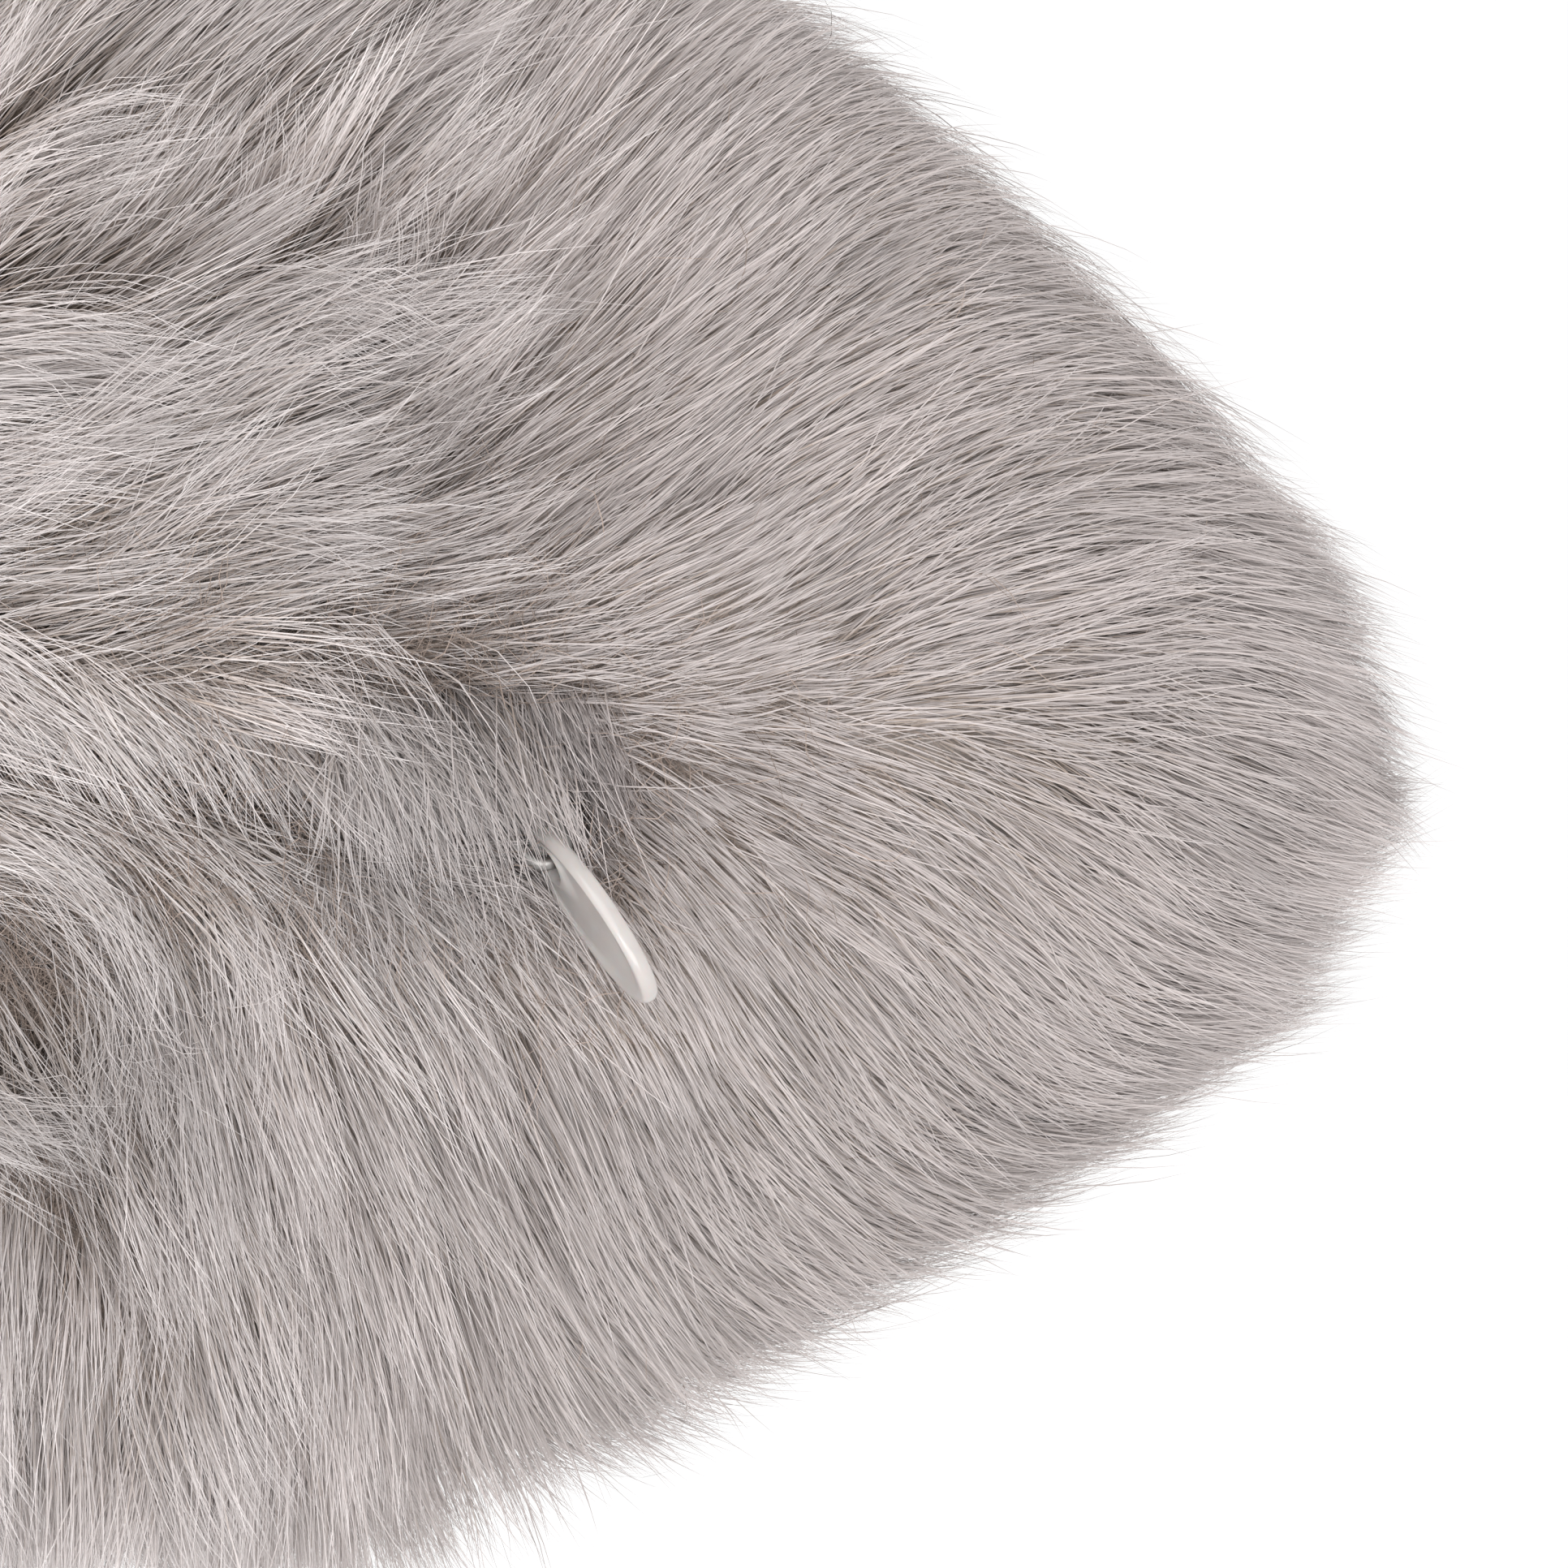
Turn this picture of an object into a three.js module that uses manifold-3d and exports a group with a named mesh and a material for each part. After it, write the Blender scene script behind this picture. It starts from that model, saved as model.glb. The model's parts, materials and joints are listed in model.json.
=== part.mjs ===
// A furry slip-on windscreen for a shotgun microphone: a moulded foam core with a long bore, a fabric
// lining, two long-pile fur panels closed by a zip along one side, and a rear collar with a rubber grip.
// Millimetres, +Z up. The long axis is X with the nose towards +X, and the zip runs along the -Y side.
// The origin is the centre of the microphone socket, in the plane of the collar's rear face.

import * as THREE from "three";
import { mergeVertices } from "three/addons/utils/BufferGeometryUtils.js";
import Module from "manifold-3d";

const wasm = await Module();
wasm.setup();

// ---- driving dimensions ----

const AROUND = 40; // flats round a large turned piece
const GAP = 0.3; // clearance kept between pieces that touch

// Foam core: a cylinder with a rounded rear shoulder and a blunt, rounded nose.
const coreRadius = 52;
const coreRear = 15.3;
const shoulderEnd = 45;
const shoulderDrop = 27.7;
const shoulderReach = 32.8;
const shoulderSweep = (65 * Math.PI) / 180;
const noseStart = 158;
const coreTip = 214;
const corePower = 1.5;
const noseSplit = 166;

// Outer surface of the fur, combed forward over the nose.
const furRadius = 78;
const furRear = 3;
const furRearRadius = 38;
const furShoulderEnd = 45;
const furNoseStart = 144;
const furTip = 232;
const furPower = 1.35;
const hemPlane = 12.2;
const hemRadius = 32.5;

// Layers over the core, as distances from the foam.
const liningInner = 0.4;
const liningOuter = 1.2;
const bindingInner = 1.5;
const bindingOuter = 2.1;
const furInner = 2.4;
const bindingHalfWidth = 6;

// Bore for the microphone.
const boreRadius = 14;
const boreEnd = 163;
const sleeveWall = 2;
const endDisc = 2;

// Rear collar, its ring nut and the rubber grip.
const collarLip = 5;
const collarLipRadius = 26;
const grooveEnd = 12;
const grooveRadius = 24.4;
const flangeEnd = 15;
const flangeRadius = 30;
const spigotEnd = 31;
const spigotRadius = 17;
const collarBore = 14.5;
const nutRear = 27.7;
const nutRadius = 27;
const gripBore = 10.6;
const gripRib = 10.1;
const gripLipRadius = 17.5;
const gripLip = 1.5;
const gripSeatRadius = 17.8;

// Hem: a gathered fabric channel with an elastic band inside, both in the collar's groove.
const hemInnerRadius = 25;
const hemOuterRadius = 31.8;
const hemRear = 5.6;
const hemFront = 11.6;
const hemWall = 0.8;
const elasticThickness = 2;
const elasticClearance = 0.4;

// Zip, as heights above the X axis on the -Y side. It lies flat on the straight part of the body.
const zipRear = 44;
const zipFront = 169.5;
const guardLow = 53.6;
const guardHigh = 54.1;
const guardHalfWidth = 12;
const tapeLow = 55.5;
const tapeHigh = 56;
const tapeInner = 1.2;
const tapeOuter = 14;
const teethLow = 56.3;
const teethHigh = 58.3;
const teethOuter = 3.4;
const teethRear = 50;
const teethFront = 163.6;
const toothPitch = 2.6;
const toothGap = 0.9;
const toothRoot = 2.2;
const stopLength = 2.5;
const stopHigh = 58.6;
const stopOuter = 3.6;

// Slider, its bridge, the wire link and the pull tab.
const sliderCentre = 158;
const sliderLength = 11;
const sliderHalfWidth = 4.6;
const sliderFlange = 0.8;
const bottomPlateLow = 54.45;
const bottomPlateHigh = 55.2;
const flangeLow = 56.3;
const topPlateLow = 58.7;
const topPlateHigh = 59.7;
const neckLength = 3;
const neckHalfWidth = 0.8;
const legOffset = 2.6;
const bridgeHeight = 64;
const bridgeWire = 0.8;
const linkHeight = 61.6;
const linkWire = 0.6;
const linkLength = 8;
const linkWidth = 3.6;
const linkBehindLeg = 1.7;
const tabLength = 16.2;
const tabWidth = 8;
const tabThickness = 1.4;
const tabRoot = 3;
const tabHole = 1.3;
const tabBevel = 0.45;
// The tab points forward, down and a little outward. Its faces look mostly forward and back.
const tabAlong = new THREE.Vector3(0.65, -0.35, -0.674).normalize();
const tabNormal = new THREE.Vector3(-0.7565, -0.37, -0.5393).normalize();

// Valley in the pile over the zip, where the slider and its tab travel.
const valleyHalfFloor = 5.4;
const valleyHalfTop = 27;
const valleyFloor = 56;
const valleyTop = 65;
const valleyRear = 42;
const valleyFront = 186;
const pocketHalfWidth = 14.6;
const pocketTop = 56.4;

// ---- materials ----

function finish(colour, roughness, metalness = 0) {
  return new THREE.MeshStandardMaterial({ color: colour, roughness, metalness });
}

const fur = finish(0xada4a1, 0.9);
const lining = finish(0x8d8784, 0.9);
const webbing = finish(0x9a938f, 0.85);
const monofilament = finish(0xb9b3ae, 0.5);
const sliderMetal = finish(0xa8a6a3, 0.35, 0.9);
const clearPlastic = finish(0xc4c0bc, 0.2);
const foam = finish(0x4a4846, 0.95);
const mesh3d = finish(0x3c3b3a, 0.9);
const hardPlastic = finish(0x2b2b2c, 0.55);
const rubber = finish(0x1d1d1e, 0.8);

// ---- geometry helpers ----

// A closed geometry as a manifold-3d solid.
function solid(geometry) {
  const bare = geometry.index ? geometry.toNonIndexed() : geometry.clone();
  bare.deleteAttribute("normal");
  bare.deleteAttribute("uv");
  const merged = mergeVertices(bare, 1e-4);
  return new wasm.Manifold(
    new wasm.Mesh({
      numProp: 3,
      vertProperties: merged.attributes.position.array,
      triVerts: new Uint32Array(merged.index.array),
    }),
  );
}

// A manifold-3d solid as a geometry.
function geometryOf(made) {
  const { numProp, numVert, vertProperties, triVerts } = made.getMesh();
  const position = new Float32Array(numVert * 3);
  for (let i = 0; i < numVert; i += 1) {
    position.set(vertProperties.subarray(i * numProp, i * numProp + 3), i * 3);
  }
  const geometry = new THREE.BufferGeometry();
  geometry.setAttribute("position", new THREE.BufferAttribute(position, 3));
  geometry.setIndex(new THREE.BufferAttribute(triVerts, 1));
  geometry.computeVertexNormals();
  return geometry;
}

// Twice the signed area of a closed outline of [x, radius] points.
function signedArea(outline) {
  return outline.reduce((sum, [x, r], i) => {
    const [nextX, nextR] = outline[(i + 1) % outline.length];
    return sum + x * nextR - nextX * r;
  }, 0);
}

// A solid turned about the X axis from an outline of [x, radius] points. An outline whose two ends lie
// on the axis stays open there, and any other outline is closed on itself.
function turned(outline, flats = AROUND) {
  const facingOut = signedArea(outline) < 0 ? [...outline].reverse() : outline;
  const points = facingOut.map(([x, r]) => new THREE.Vector2(r, x));
  const first = points[0];
  const last = points[points.length - 1];
  if (first.x > 0 || last.x > 0) points.push(first.clone());
  points.reverse();
  return new THREE.LatheGeometry(points, flats).rotateZ(-Math.PI / 2);
}

// A box from its ranges along X, Y and Z.
function block([x0, x1], [y0, y1], [z0, z1]) {
  const geometry = new THREE.BoxGeometry(x1 - x0, y1 - y0, z1 - z0);
  return geometry.translate((x0 + x1) / 2, (y0 + y1) / 2, (z0 + z1) / 2);
}

// A box on the -Y side, from its ranges along X, in height above the X axis, and along Z.
function zipBlock(x, [low, high], z) {
  return block(x, [-high, -low], z);
}

// A stretch of superellipse from a body of the given radius to a tip on the axis.
function noseCurve(start, tip, radius, power, steps) {
  const points = [];
  for (let i = 0; i <= steps; i += 1) {
    const angle = (i / steps) * (Math.PI / 2);
    const x = start + (tip - start) * Math.sin(angle) ** (2 / power);
    const r = i === steps ? 0 : radius * Math.cos(angle) ** (2 / power);
    points.push([x, r]);
  }
  return points;
}

// The foam's outer surface from the rear face to the tip.
function coreCurve() {
  const points = [];
  const steps = 5;
  for (let i = 0; i < steps; i += 1) {
    const angle = shoulderSweep * (1 - i / steps);
    const x = shoulderEnd - shoulderReach * Math.sin(angle);
    const r = coreRadius - shoulderDrop * (1 - Math.cos(angle));
    points.push([x, r]);
  }
  points.push([shoulderEnd, coreRadius]);
  return [...points, ...noseCurve(noseStart, coreTip, coreRadius, corePower, 8)];
}

// A curve moved outward by a distance, square to itself.
function offset(curve, distance) {
  return curve.map(([x, r], i) => {
    const [x0, r0] = curve[Math.max(i - 1, 0)];
    const [x1, r1] = curve[Math.min(i + 1, curve.length - 1)];
    if (i === curve.length - 1) return [x + distance, 0];
    const length = Math.hypot(x1 - x0, r1 - r0);
    return [x - (distance * (r1 - r0)) / length, r + (distance * (x1 - x0)) / length];
  });
}

// The fabric's path: the core's surface, carried rearward over the edge of the collar's flange.
function skinCurve() {
  return [[hemPlane, hemRadius], ...coreCurve()];
}

// A shell over the core between two distances from the foam.
function skin(inner, outer) {
  return turned([...offset(skinCurve(), outer), ...offset(skinCurve(), inner).reverse()]);
}

const beyond = furRadius + 10;
const halfSpace = {
  upper: () => solid(block([-beyond, furTip + 10], [-beyond, beyond], [GAP / 2, beyond])),
  lower: () => solid(block([-beyond, furTip + 10], [-beyond, beyond], [-beyond, -GAP / 2])),
};

const model = new THREE.Group();
model.name = "furry_windscreen";

function add(name, geometry, material, parent = model) {
  const mesh = new THREE.Mesh(geometry, material);
  mesh.name = name;
  parent.add(mesh);
  return mesh;
}

// ---- foam core ----

function foamCore() {
  const curve = coreCurve();
  const atSplit = noseRadius(noseSplit);
  const atNose = noseRadius(noseSplit + GAP);
  const body = [
    ...curve.filter(([x]) => x < noseSplit),
    [noseSplit, atSplit],
    [noseSplit, 0],
    [boreEnd, 0],
    [boreEnd, boreRadius],
    [spigotEnd + 0.6, boreRadius],
    [spigotEnd + 0.6, nutRadius + 0.5],
    [nutRear - 0.4, nutRadius + 0.5],
    [nutRear - 0.4, spigotRadius + GAP],
    [curve[0][0], spigotRadius + GAP],
  ];
  const onAxis = body.findIndex(([, r]) => r === 0);
  const opened = [...body.slice(onAxis + 1), ...body.slice(0, onAxis + 1)];
  add("foam_body", turned(opened), foam);
  const nose = [
    [noseSplit + GAP, 0],
    [noseSplit + GAP, atNose],
    ...curve.filter(([x]) => x > noseSplit + 1),
  ];
  add("foam_nose", turned(nose), foam);
}

// The core's radius at a station on the nose.
function noseRadius(x) {
  const along = (x - noseStart) / (coreTip - noseStart);
  return coreRadius * (1 - along ** corePower) ** (1 / corePower);
}

function boreLining() {
  const outer = boreRadius - GAP;
  const inner = outer - sleeveWall;
  const front = boreEnd - GAP - endDisc;
  const rear = spigotEnd + 0.9;
  const sleeve = [
    [rear, inner],
    [rear, outer],
    [front - GAP, outer],
    [front - GAP, inner],
  ];
  add("bore_sleeve", turned(sleeve, 24), mesh3d);
  const disc = [
    [front, 0],
    [front, outer],
    [front + endDisc, outer],
    [front + endDisc, 0],
  ];
  add("bore_end_disc", turned(disc, 24), mesh3d);
}

// ---- rear collar ----

function rearCollar() {
  const edge = 0.8;
  const seatDepth = gripLip + 2 * GAP;
  const collar = [
    [seatDepth, collarBore],
    [seatDepth, gripSeatRadius],
    [0, gripSeatRadius],
    [0, collarLipRadius - edge],
    [edge, collarLipRadius],
    [collarLip - edge, collarLipRadius],
    [collarLip, collarLipRadius - edge],
    [collarLip, grooveRadius],
    [grooveEnd, grooveRadius],
    [grooveEnd, flangeRadius - edge],
    [grooveEnd + edge, flangeRadius],
    [flangeEnd, flangeRadius],
    [flangeEnd, spigotRadius],
    [spigotEnd - edge, spigotRadius],
    [spigotEnd, spigotRadius - edge],
    [spigotEnd, collarBore],
  ];
  add("rear_collar", turned(collar), hardPlastic);
}

// A ring nut on the spigot, with notches for a pin spanner.
function ringNut() {
  const edge = 0.6;
  const front = spigotEnd + 0.2;
  const ring = turned([
    [nutRear, spigotRadius + GAP],
    [nutRear, nutRadius - edge],
    [nutRear + edge, nutRadius],
    [front - edge, nutRadius],
    [front, nutRadius - edge],
    [front, spigotRadius + GAP],
  ]);
  const notches = 6;
  let nut = solid(ring);
  for (let i = 0; i < notches; i += 1) {
    const notch = block([nutRear - 1, front + 1], [-2, 2], [nutRadius - 2.5, nutRadius + 2]);
    notch.rotateX((i * 2 * Math.PI) / notches);
    nut = nut.subtract(solid(notch));
  }
  add("collar_ring_nut", geometryOf(nut), hardPlastic);
}

// A rubber sleeve with three soft ribs that grip the microphone. Its lip lies in a seat in the collar.
function micGrip() {
  const outer = collarBore - GAP;
  const front = spigotEnd - 1;
  const ribs = [6, 15, 24];
  const ribReach = 1.6;
  const inside = ribs.flatMap((x) => [
    [x - ribReach, gripBore],
    [x - ribReach / 3, gripRib],
    [x + ribReach / 3, gripRib],
    [x + ribReach, gripBore],
  ]);
  const lipFront = GAP + gripLip;
  const grip = [
    [GAP, gripBore + 0.6],
    [GAP + 0.6, gripBore],
    ...inside,
    [front, gripBore],
    [front, outer],
    [lipFront, outer],
    [lipFront, gripLipRadius],
    [GAP, gripLipRadius],
  ];
  add("mic_grip", turned(grip, 24), rubber);
}

// ---- hem ----

function hem() {
  const channel = [
    [hemRear, hemInnerRadius],
    [hemRear, hemOuterRadius],
    [hemFront, hemOuterRadius],
    [hemFront, hemInnerRadius],
    [hemFront - hemWall, hemInnerRadius],
    [hemFront - hemWall, hemOuterRadius - hemWall],
    [hemRear + hemWall, hemOuterRadius - hemWall],
    [hemRear + hemWall, hemInnerRadius],
  ];
  add("hem_channel", turned(channel), lining);
  const low = hemInnerRadius + elasticClearance;
  const rear = hemRear + hemWall + elasticClearance;
  const front = hemFront - hemWall - elasticClearance;
  const band = [
    [rear, low],
    [rear, low + elasticThickness],
    [front, low + elasticThickness],
    [front, low],
  ];
  add("hem_elastic", turned(band, 32), rubber);
}

// ---- fabric ----

// The pile's outer surface, closed to the backing at the hem and round the nose.
function furOutline() {
  const rear = [];
  const steps = 6;
  for (let i = 0; i < steps; i += 1) {
    const angle = (Math.PI / 2) * (1 - i / steps);
    const x = furShoulderEnd - (furShoulderEnd - furRear) * Math.sin(angle);
    const r = furRearRadius + (furRadius - furRearRadius) * Math.cos(angle);
    rear.push([x, r]);
  }
  const nose = noseCurve(furNoseStart, furTip, furRadius, furPower, 10);
  const backing = offset(skinCurve(), furInner).reverse();
  const last = backing[backing.length - 1];
  return [...rear, [furShoulderEnd, furRadius], ...nose, ...backing, [furRear, last[1]]];
}

// The room kept free of pile over the zip: a shallow pocket for the tapes and a wide valley above.
function zipRoom() {
  const pocketFront = zipFront + 1;
  const pocket = zipBlock(
    [zipRear - 1, pocketFront],
    [0, pocketTop],
    [-pocketHalfWidth, pocketHalfWidth],
  );
  const section = new THREE.Shape([
    new THREE.Vector2(-valleyHalfFloor, valleyFloor),
    new THREE.Vector2(valleyHalfFloor, valleyFloor),
    new THREE.Vector2(valleyHalfTop, valleyTop),
    new THREE.Vector2(valleyHalfTop, beyond),
    new THREE.Vector2(-valleyHalfTop, beyond),
    new THREE.Vector2(-valleyHalfTop, valleyTop),
  ]);
  const depth = valleyFront - valleyRear;
  const valley = new THREE.ExtrudeGeometry(section, { depth, bevelEnabled: false });
  // The section's first axis becomes +Z, its second -Y and the extrusion +X.
  const turn = new THREE.Matrix4().makeBasis(
    new THREE.Vector3(0, 0, 1),
    new THREE.Vector3(0, -1, 0),
    new THREE.Vector3(1, 0, 0),
  );
  valley.applyMatrix4(turn).translate(valleyRear, 0, 0);
  return solid(pocket).add(solid(valley));
}

function furPanels() {
  const shell = solid(turned(furOutline())).subtract(zipRoom());
  for (const [side, half] of Object.entries(halfSpace)) {
    add(`fur_panel_${side}`, geometryOf(shell.intersect(half())), fur);
  }
}

function linings() {
  const shell = solid(skin(liningInner, liningOuter));
  for (const [side, half] of Object.entries(halfSpace)) {
    add(`lining_${side}`, geometryOf(shell.intersect(half())), lining);
  }
}

// A strip over the sewn seam on the far side, between the lining and the fur's backing.
function seamBinding() {
  const shell = solid(skin(bindingInner, bindingOuter));
  const strip = solid(
    block([shoulderEnd, noseSplit], [0, beyond], [-bindingHalfWidth, bindingHalfWidth]),
  );
  add("seam_binding", geometryOf(shell.intersect(strip)), webbing);
}

// ---- zip ----

// A toothed strip along one tape edge. side is +1 above the seam and -1 below it.
function teeth(side) {
  const outline = [];
  const count = Math.floor((teethFront - teethRear) / toothPitch);
  for (let i = 0; i < count; i += 1) {
    const x = teethRear + i * toothPitch + (side > 0 ? 0 : toothGap / 2);
    outline.push([x, toothRoot], [x, tapeInner]);
    outline.push([x + toothPitch - toothGap, tapeInner], [x + toothPitch - toothGap, toothRoot]);
  }
  const shape = new THREE.Shape(outline.map(([x, z]) => new THREE.Vector2(x, z)));
  const [lastX] = outline[outline.length - 1];
  shape.lineTo(lastX, teethOuter);
  shape.lineTo(outline[0][0], teethOuter);
  const strip = new THREE.ExtrudeGeometry(shape, {
    depth: teethHigh - teethLow,
    bevelEnabled: false,
  });
  // The outline's second axis becomes +Z and the extrusion -Y.
  strip.rotateX(Math.PI / 2).translate(0, -teethLow, 0);
  return side > 0 ? strip : strip.rotateX(Math.PI).translate(0, -teethLow - teethHigh, 0);
}

function zip() {
  const guard = zipBlock(
    [zipRear, zipFront],
    [guardLow, guardHigh],
    [-guardHalfWidth, guardHalfWidth],
  );
  add("zip_guard_strip", guard, webbing);
  for (const [name, side] of [["upper", 1], ["lower", -1]]) {
    const across = (inner, outer) => (side > 0 ? [inner, outer] : [-outer, -inner]);
    const tape = zipBlock([zipRear, zipFront], [tapeLow, tapeHigh], across(tapeInner, tapeOuter));
    add(`zip_tape_${name}`, tape, webbing);
    add(`zip_teeth_${name}`, teeth(side), monofilament);
    const stopRear = teethFront + GAP;
    const stop = zipBlock(
      [stopRear, stopRear + stopLength],
      [teethLow, stopHigh],
      across(tapeInner, stopOuter),
    );
    add(`zip_top_stop_${name}`, stop, sliderMetal);
  }
  const bottomStop = zipBlock(
    [teethRear - GAP - stopLength, teethRear - GAP],
    [teethLow, stopHigh],
    [-stopOuter, stopOuter],
  );
  add("zip_bottom_stop", bottomStop, sliderMetal);
}

// ---- slider and pull ----

// An outline of the slider's plates: wide shoulders in front, narrower at the rear.
function sliderPlate(low, high) {
  const half = sliderLength / 2;
  const rearHalfWidth = sliderHalfWidth - 0.3;
  const corner = 1.6;
  const shape = new THREE.Shape();
  shape.moveTo(-half, -rearHalfWidth + corner / 2);
  shape.lineTo(-half + corner / 2, -rearHalfWidth);
  shape.lineTo(half - 2 * corner, -sliderHalfWidth);
  shape.lineTo(half, -sliderHalfWidth + 1.5 * corner);
  shape.lineTo(half, sliderHalfWidth - 1.5 * corner);
  shape.lineTo(half - 2 * corner, sliderHalfWidth);
  shape.lineTo(-half + corner / 2, rearHalfWidth);
  shape.lineTo(-half, rearHalfWidth - corner / 2);
  const plate = new THREE.ExtrudeGeometry(shape, { depth: high - low, bevelEnabled: false });
  return plate.rotateX(Math.PI / 2).translate(sliderCentre, -low, 0);
}

// A round bar between two points.
function bar(from, to, radius, sides = 12) {
  const geometry = new THREE.CylinderGeometry(radius, radius, from.distanceTo(to), sides);
  const direction = to.clone().sub(from).normalize();
  const turn = new THREE.Quaternion().setFromUnitVectors(new THREE.Vector3(0, 1, 0), direction);
  const middle = from.clone().add(to).multiplyScalar(0.5);
  return geometry.applyQuaternion(turn).translate(middle.x, middle.y, middle.z);
}

function sliderBody() {
  const overlap = 0.2;
  const flangeReach = [sliderCentre - sliderLength / 2 + 1, sliderCentre + sliderLength / 2 - 3.4];
  let body = solid(sliderPlate(bottomPlateLow, bottomPlateHigh));
  body = body.add(solid(sliderPlate(topPlateLow, topPlateHigh)));
  const neckFront = sliderCentre + sliderLength / 2;
  const neck = zipBlock(
    [neckFront - neckLength, neckFront],
    [bottomPlateHigh - overlap, topPlateLow + overlap],
    [-neckHalfWidth, neckHalfWidth],
  );
  body = body.add(solid(neck));
  for (const side of [1, -1]) {
    const outer = side * (sliderHalfWidth - 0.15);
    const inner = side * (sliderHalfWidth - 0.15 - sliderFlange);
    const flange = zipBlock(
      flangeReach,
      [flangeLow, topPlateLow + overlap],
      [Math.min(inner, outer), Math.max(inner, outer)],
    );
    body = body.add(solid(flange));
  }
  const rearFoot = new THREE.Vector3(sliderCentre - legOffset, -topPlateHigh + overlap, 0);
  const frontFoot = new THREE.Vector3(sliderCentre + legOffset, -topPlateHigh + overlap, 0);
  const rearTop = new THREE.Vector3(sliderCentre - legOffset, -bridgeHeight, 0);
  const frontTop = new THREE.Vector3(sliderCentre + legOffset, -bridgeHeight, 0);
  for (const [from, to] of [[rearFoot, rearTop], [frontFoot, frontTop], [rearTop, frontTop]]) {
    body = body.add(solid(bar(from, to, bridgeWire)));
  }
  for (const top of [rearTop, frontTop]) {
    const knee = new THREE.SphereGeometry(bridgeWire, 12, 8).translate(top.x, top.y, top.z);
    body = body.add(solid(knee));
  }
  add("zip_slider", geometryOf(body), sliderMetal);
}

// The frame of the link and tab: X along the tab, Y across it and Z square to its faces, with the
// origin where the link's plane crosses the front leg of the bridge.
function pullFrame() {
  const across = new THREE.Vector3().crossVectors(tabNormal, tabAlong);
  const leg = new THREE.Vector3(sliderCentre + legOffset, -linkHeight, 0);
  const placed = new THREE.Matrix4().makeBasis(tabAlong, across, tabNormal);
  return placed.setPosition(leg);
}

// An oval wire ring round the front leg of the bridge: a torus with its two halves drawn apart.
function pullLink() {
  const end = linkWidth / 2;
  const turns = 16;
  const ring = new THREE.TorusGeometry(end, linkWire, 8, turns);
  ring.rotateZ(Math.PI / turns + Math.PI / 2).rotateX(Math.PI / 2);
  const halfStraight = (linkLength - linkWidth) / 2;
  const centre = linkLength / 2 - linkBehindLeg;
  const position = ring.getAttribute("position");
  for (let i = 0; i < position.count; i += 1) {
    const x = position.getX(i);
    position.setX(i, centre + x + Math.sign(x) * halfStraight);
  }
  return ring;
}

// A flat oval tab with bevelled edges and one hole at its root.
function pullTab() {
  const holeCentre = linkLength - linkBehindLeg;
  const centre = holeCentre - tabRoot + tabLength / 2;
  const shape = new THREE.Shape();
  shape.absellipse(centre, 0, tabLength / 2 - tabBevel, tabWidth / 2 - tabBevel, 0, 2 * Math.PI);
  const hole = new THREE.Path();
  hole.absellipse(holeCentre, 0, tabHole + tabBevel, tabHole + tabBevel, 0, 2 * Math.PI, true);
  shape.holes.push(hole);
  const depth = tabThickness - 2 * tabBevel;
  return new THREE.ExtrudeGeometry(shape, {
    depth,
    curveSegments: 12,
    bevelEnabled: true,
    bevelSize: tabBevel,
    bevelThickness: tabBevel,
    bevelSegments: 2,
  }).translate(0, 0, -depth / 2);
}

function pull() {
  const frame = new THREE.Group();
  frame.applyMatrix4(pullFrame());
  model.add(frame);
  add("pull_link", pullLink(), sliderMetal, frame);
  add("pull_tab", pullTab(), clearPlastic, frame);
}

foamCore();
boreLining();
rearCollar();
ringNut();
micGrip();
hem();
linings();
seamBinding();
furPanels();
zip();
sliderBody();
pull();

export default model;
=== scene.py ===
"""Looks of a furry microphone windscreen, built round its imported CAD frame.

The long axis is X with the nose towards +X, and the zip runs along the -Y side. Lengths here are
millimetres, and the functions that make objects turn them into metres. Angles round the axis are 0
on the zip's side and grow towards +Z. Hair is real geometry: every strand is a tapered ribbon.
"""

import json
import math

import bmesh
import bpy
import numpy as np
from mathutils import Matrix, Vector
from mathutils.kdtree import KDTree


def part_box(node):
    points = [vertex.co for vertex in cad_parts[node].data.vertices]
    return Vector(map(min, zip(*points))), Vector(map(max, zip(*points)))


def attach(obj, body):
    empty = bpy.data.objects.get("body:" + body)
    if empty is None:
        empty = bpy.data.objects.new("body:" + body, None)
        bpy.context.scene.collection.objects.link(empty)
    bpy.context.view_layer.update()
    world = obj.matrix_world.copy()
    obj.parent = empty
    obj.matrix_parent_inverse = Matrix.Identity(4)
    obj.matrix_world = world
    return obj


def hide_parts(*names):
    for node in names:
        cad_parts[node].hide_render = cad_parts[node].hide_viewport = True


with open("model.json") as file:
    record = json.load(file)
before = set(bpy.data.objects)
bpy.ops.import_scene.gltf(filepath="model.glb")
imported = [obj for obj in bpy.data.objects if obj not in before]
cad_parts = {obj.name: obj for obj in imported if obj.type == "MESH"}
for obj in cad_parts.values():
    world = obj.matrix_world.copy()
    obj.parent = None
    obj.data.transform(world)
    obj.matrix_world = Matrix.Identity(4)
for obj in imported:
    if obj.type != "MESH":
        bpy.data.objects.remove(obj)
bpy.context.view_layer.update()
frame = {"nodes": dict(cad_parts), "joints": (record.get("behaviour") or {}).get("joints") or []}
nodes = frame["nodes"]
joints = {joint["name"]: joint for joint in frame["joints"]}
MM = 0.001
HALVES = (("upper", 1), ("lower", -1))
SEED = 41
rng = np.random.default_rng(SEED)


def box_mm(node):
    """A CAD node's lowest and highest corners."""
    low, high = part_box(node)
    return np.array(low) / MM, np.array(high) / MM


def smooth(value, low, high):
    """A soft step from 0 at low to 1 at high. It falls instead where low is above high."""
    t = np.clip((value - low) / (high - low), 0, 1)
    return t * t * (3 - 2 * t)


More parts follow.
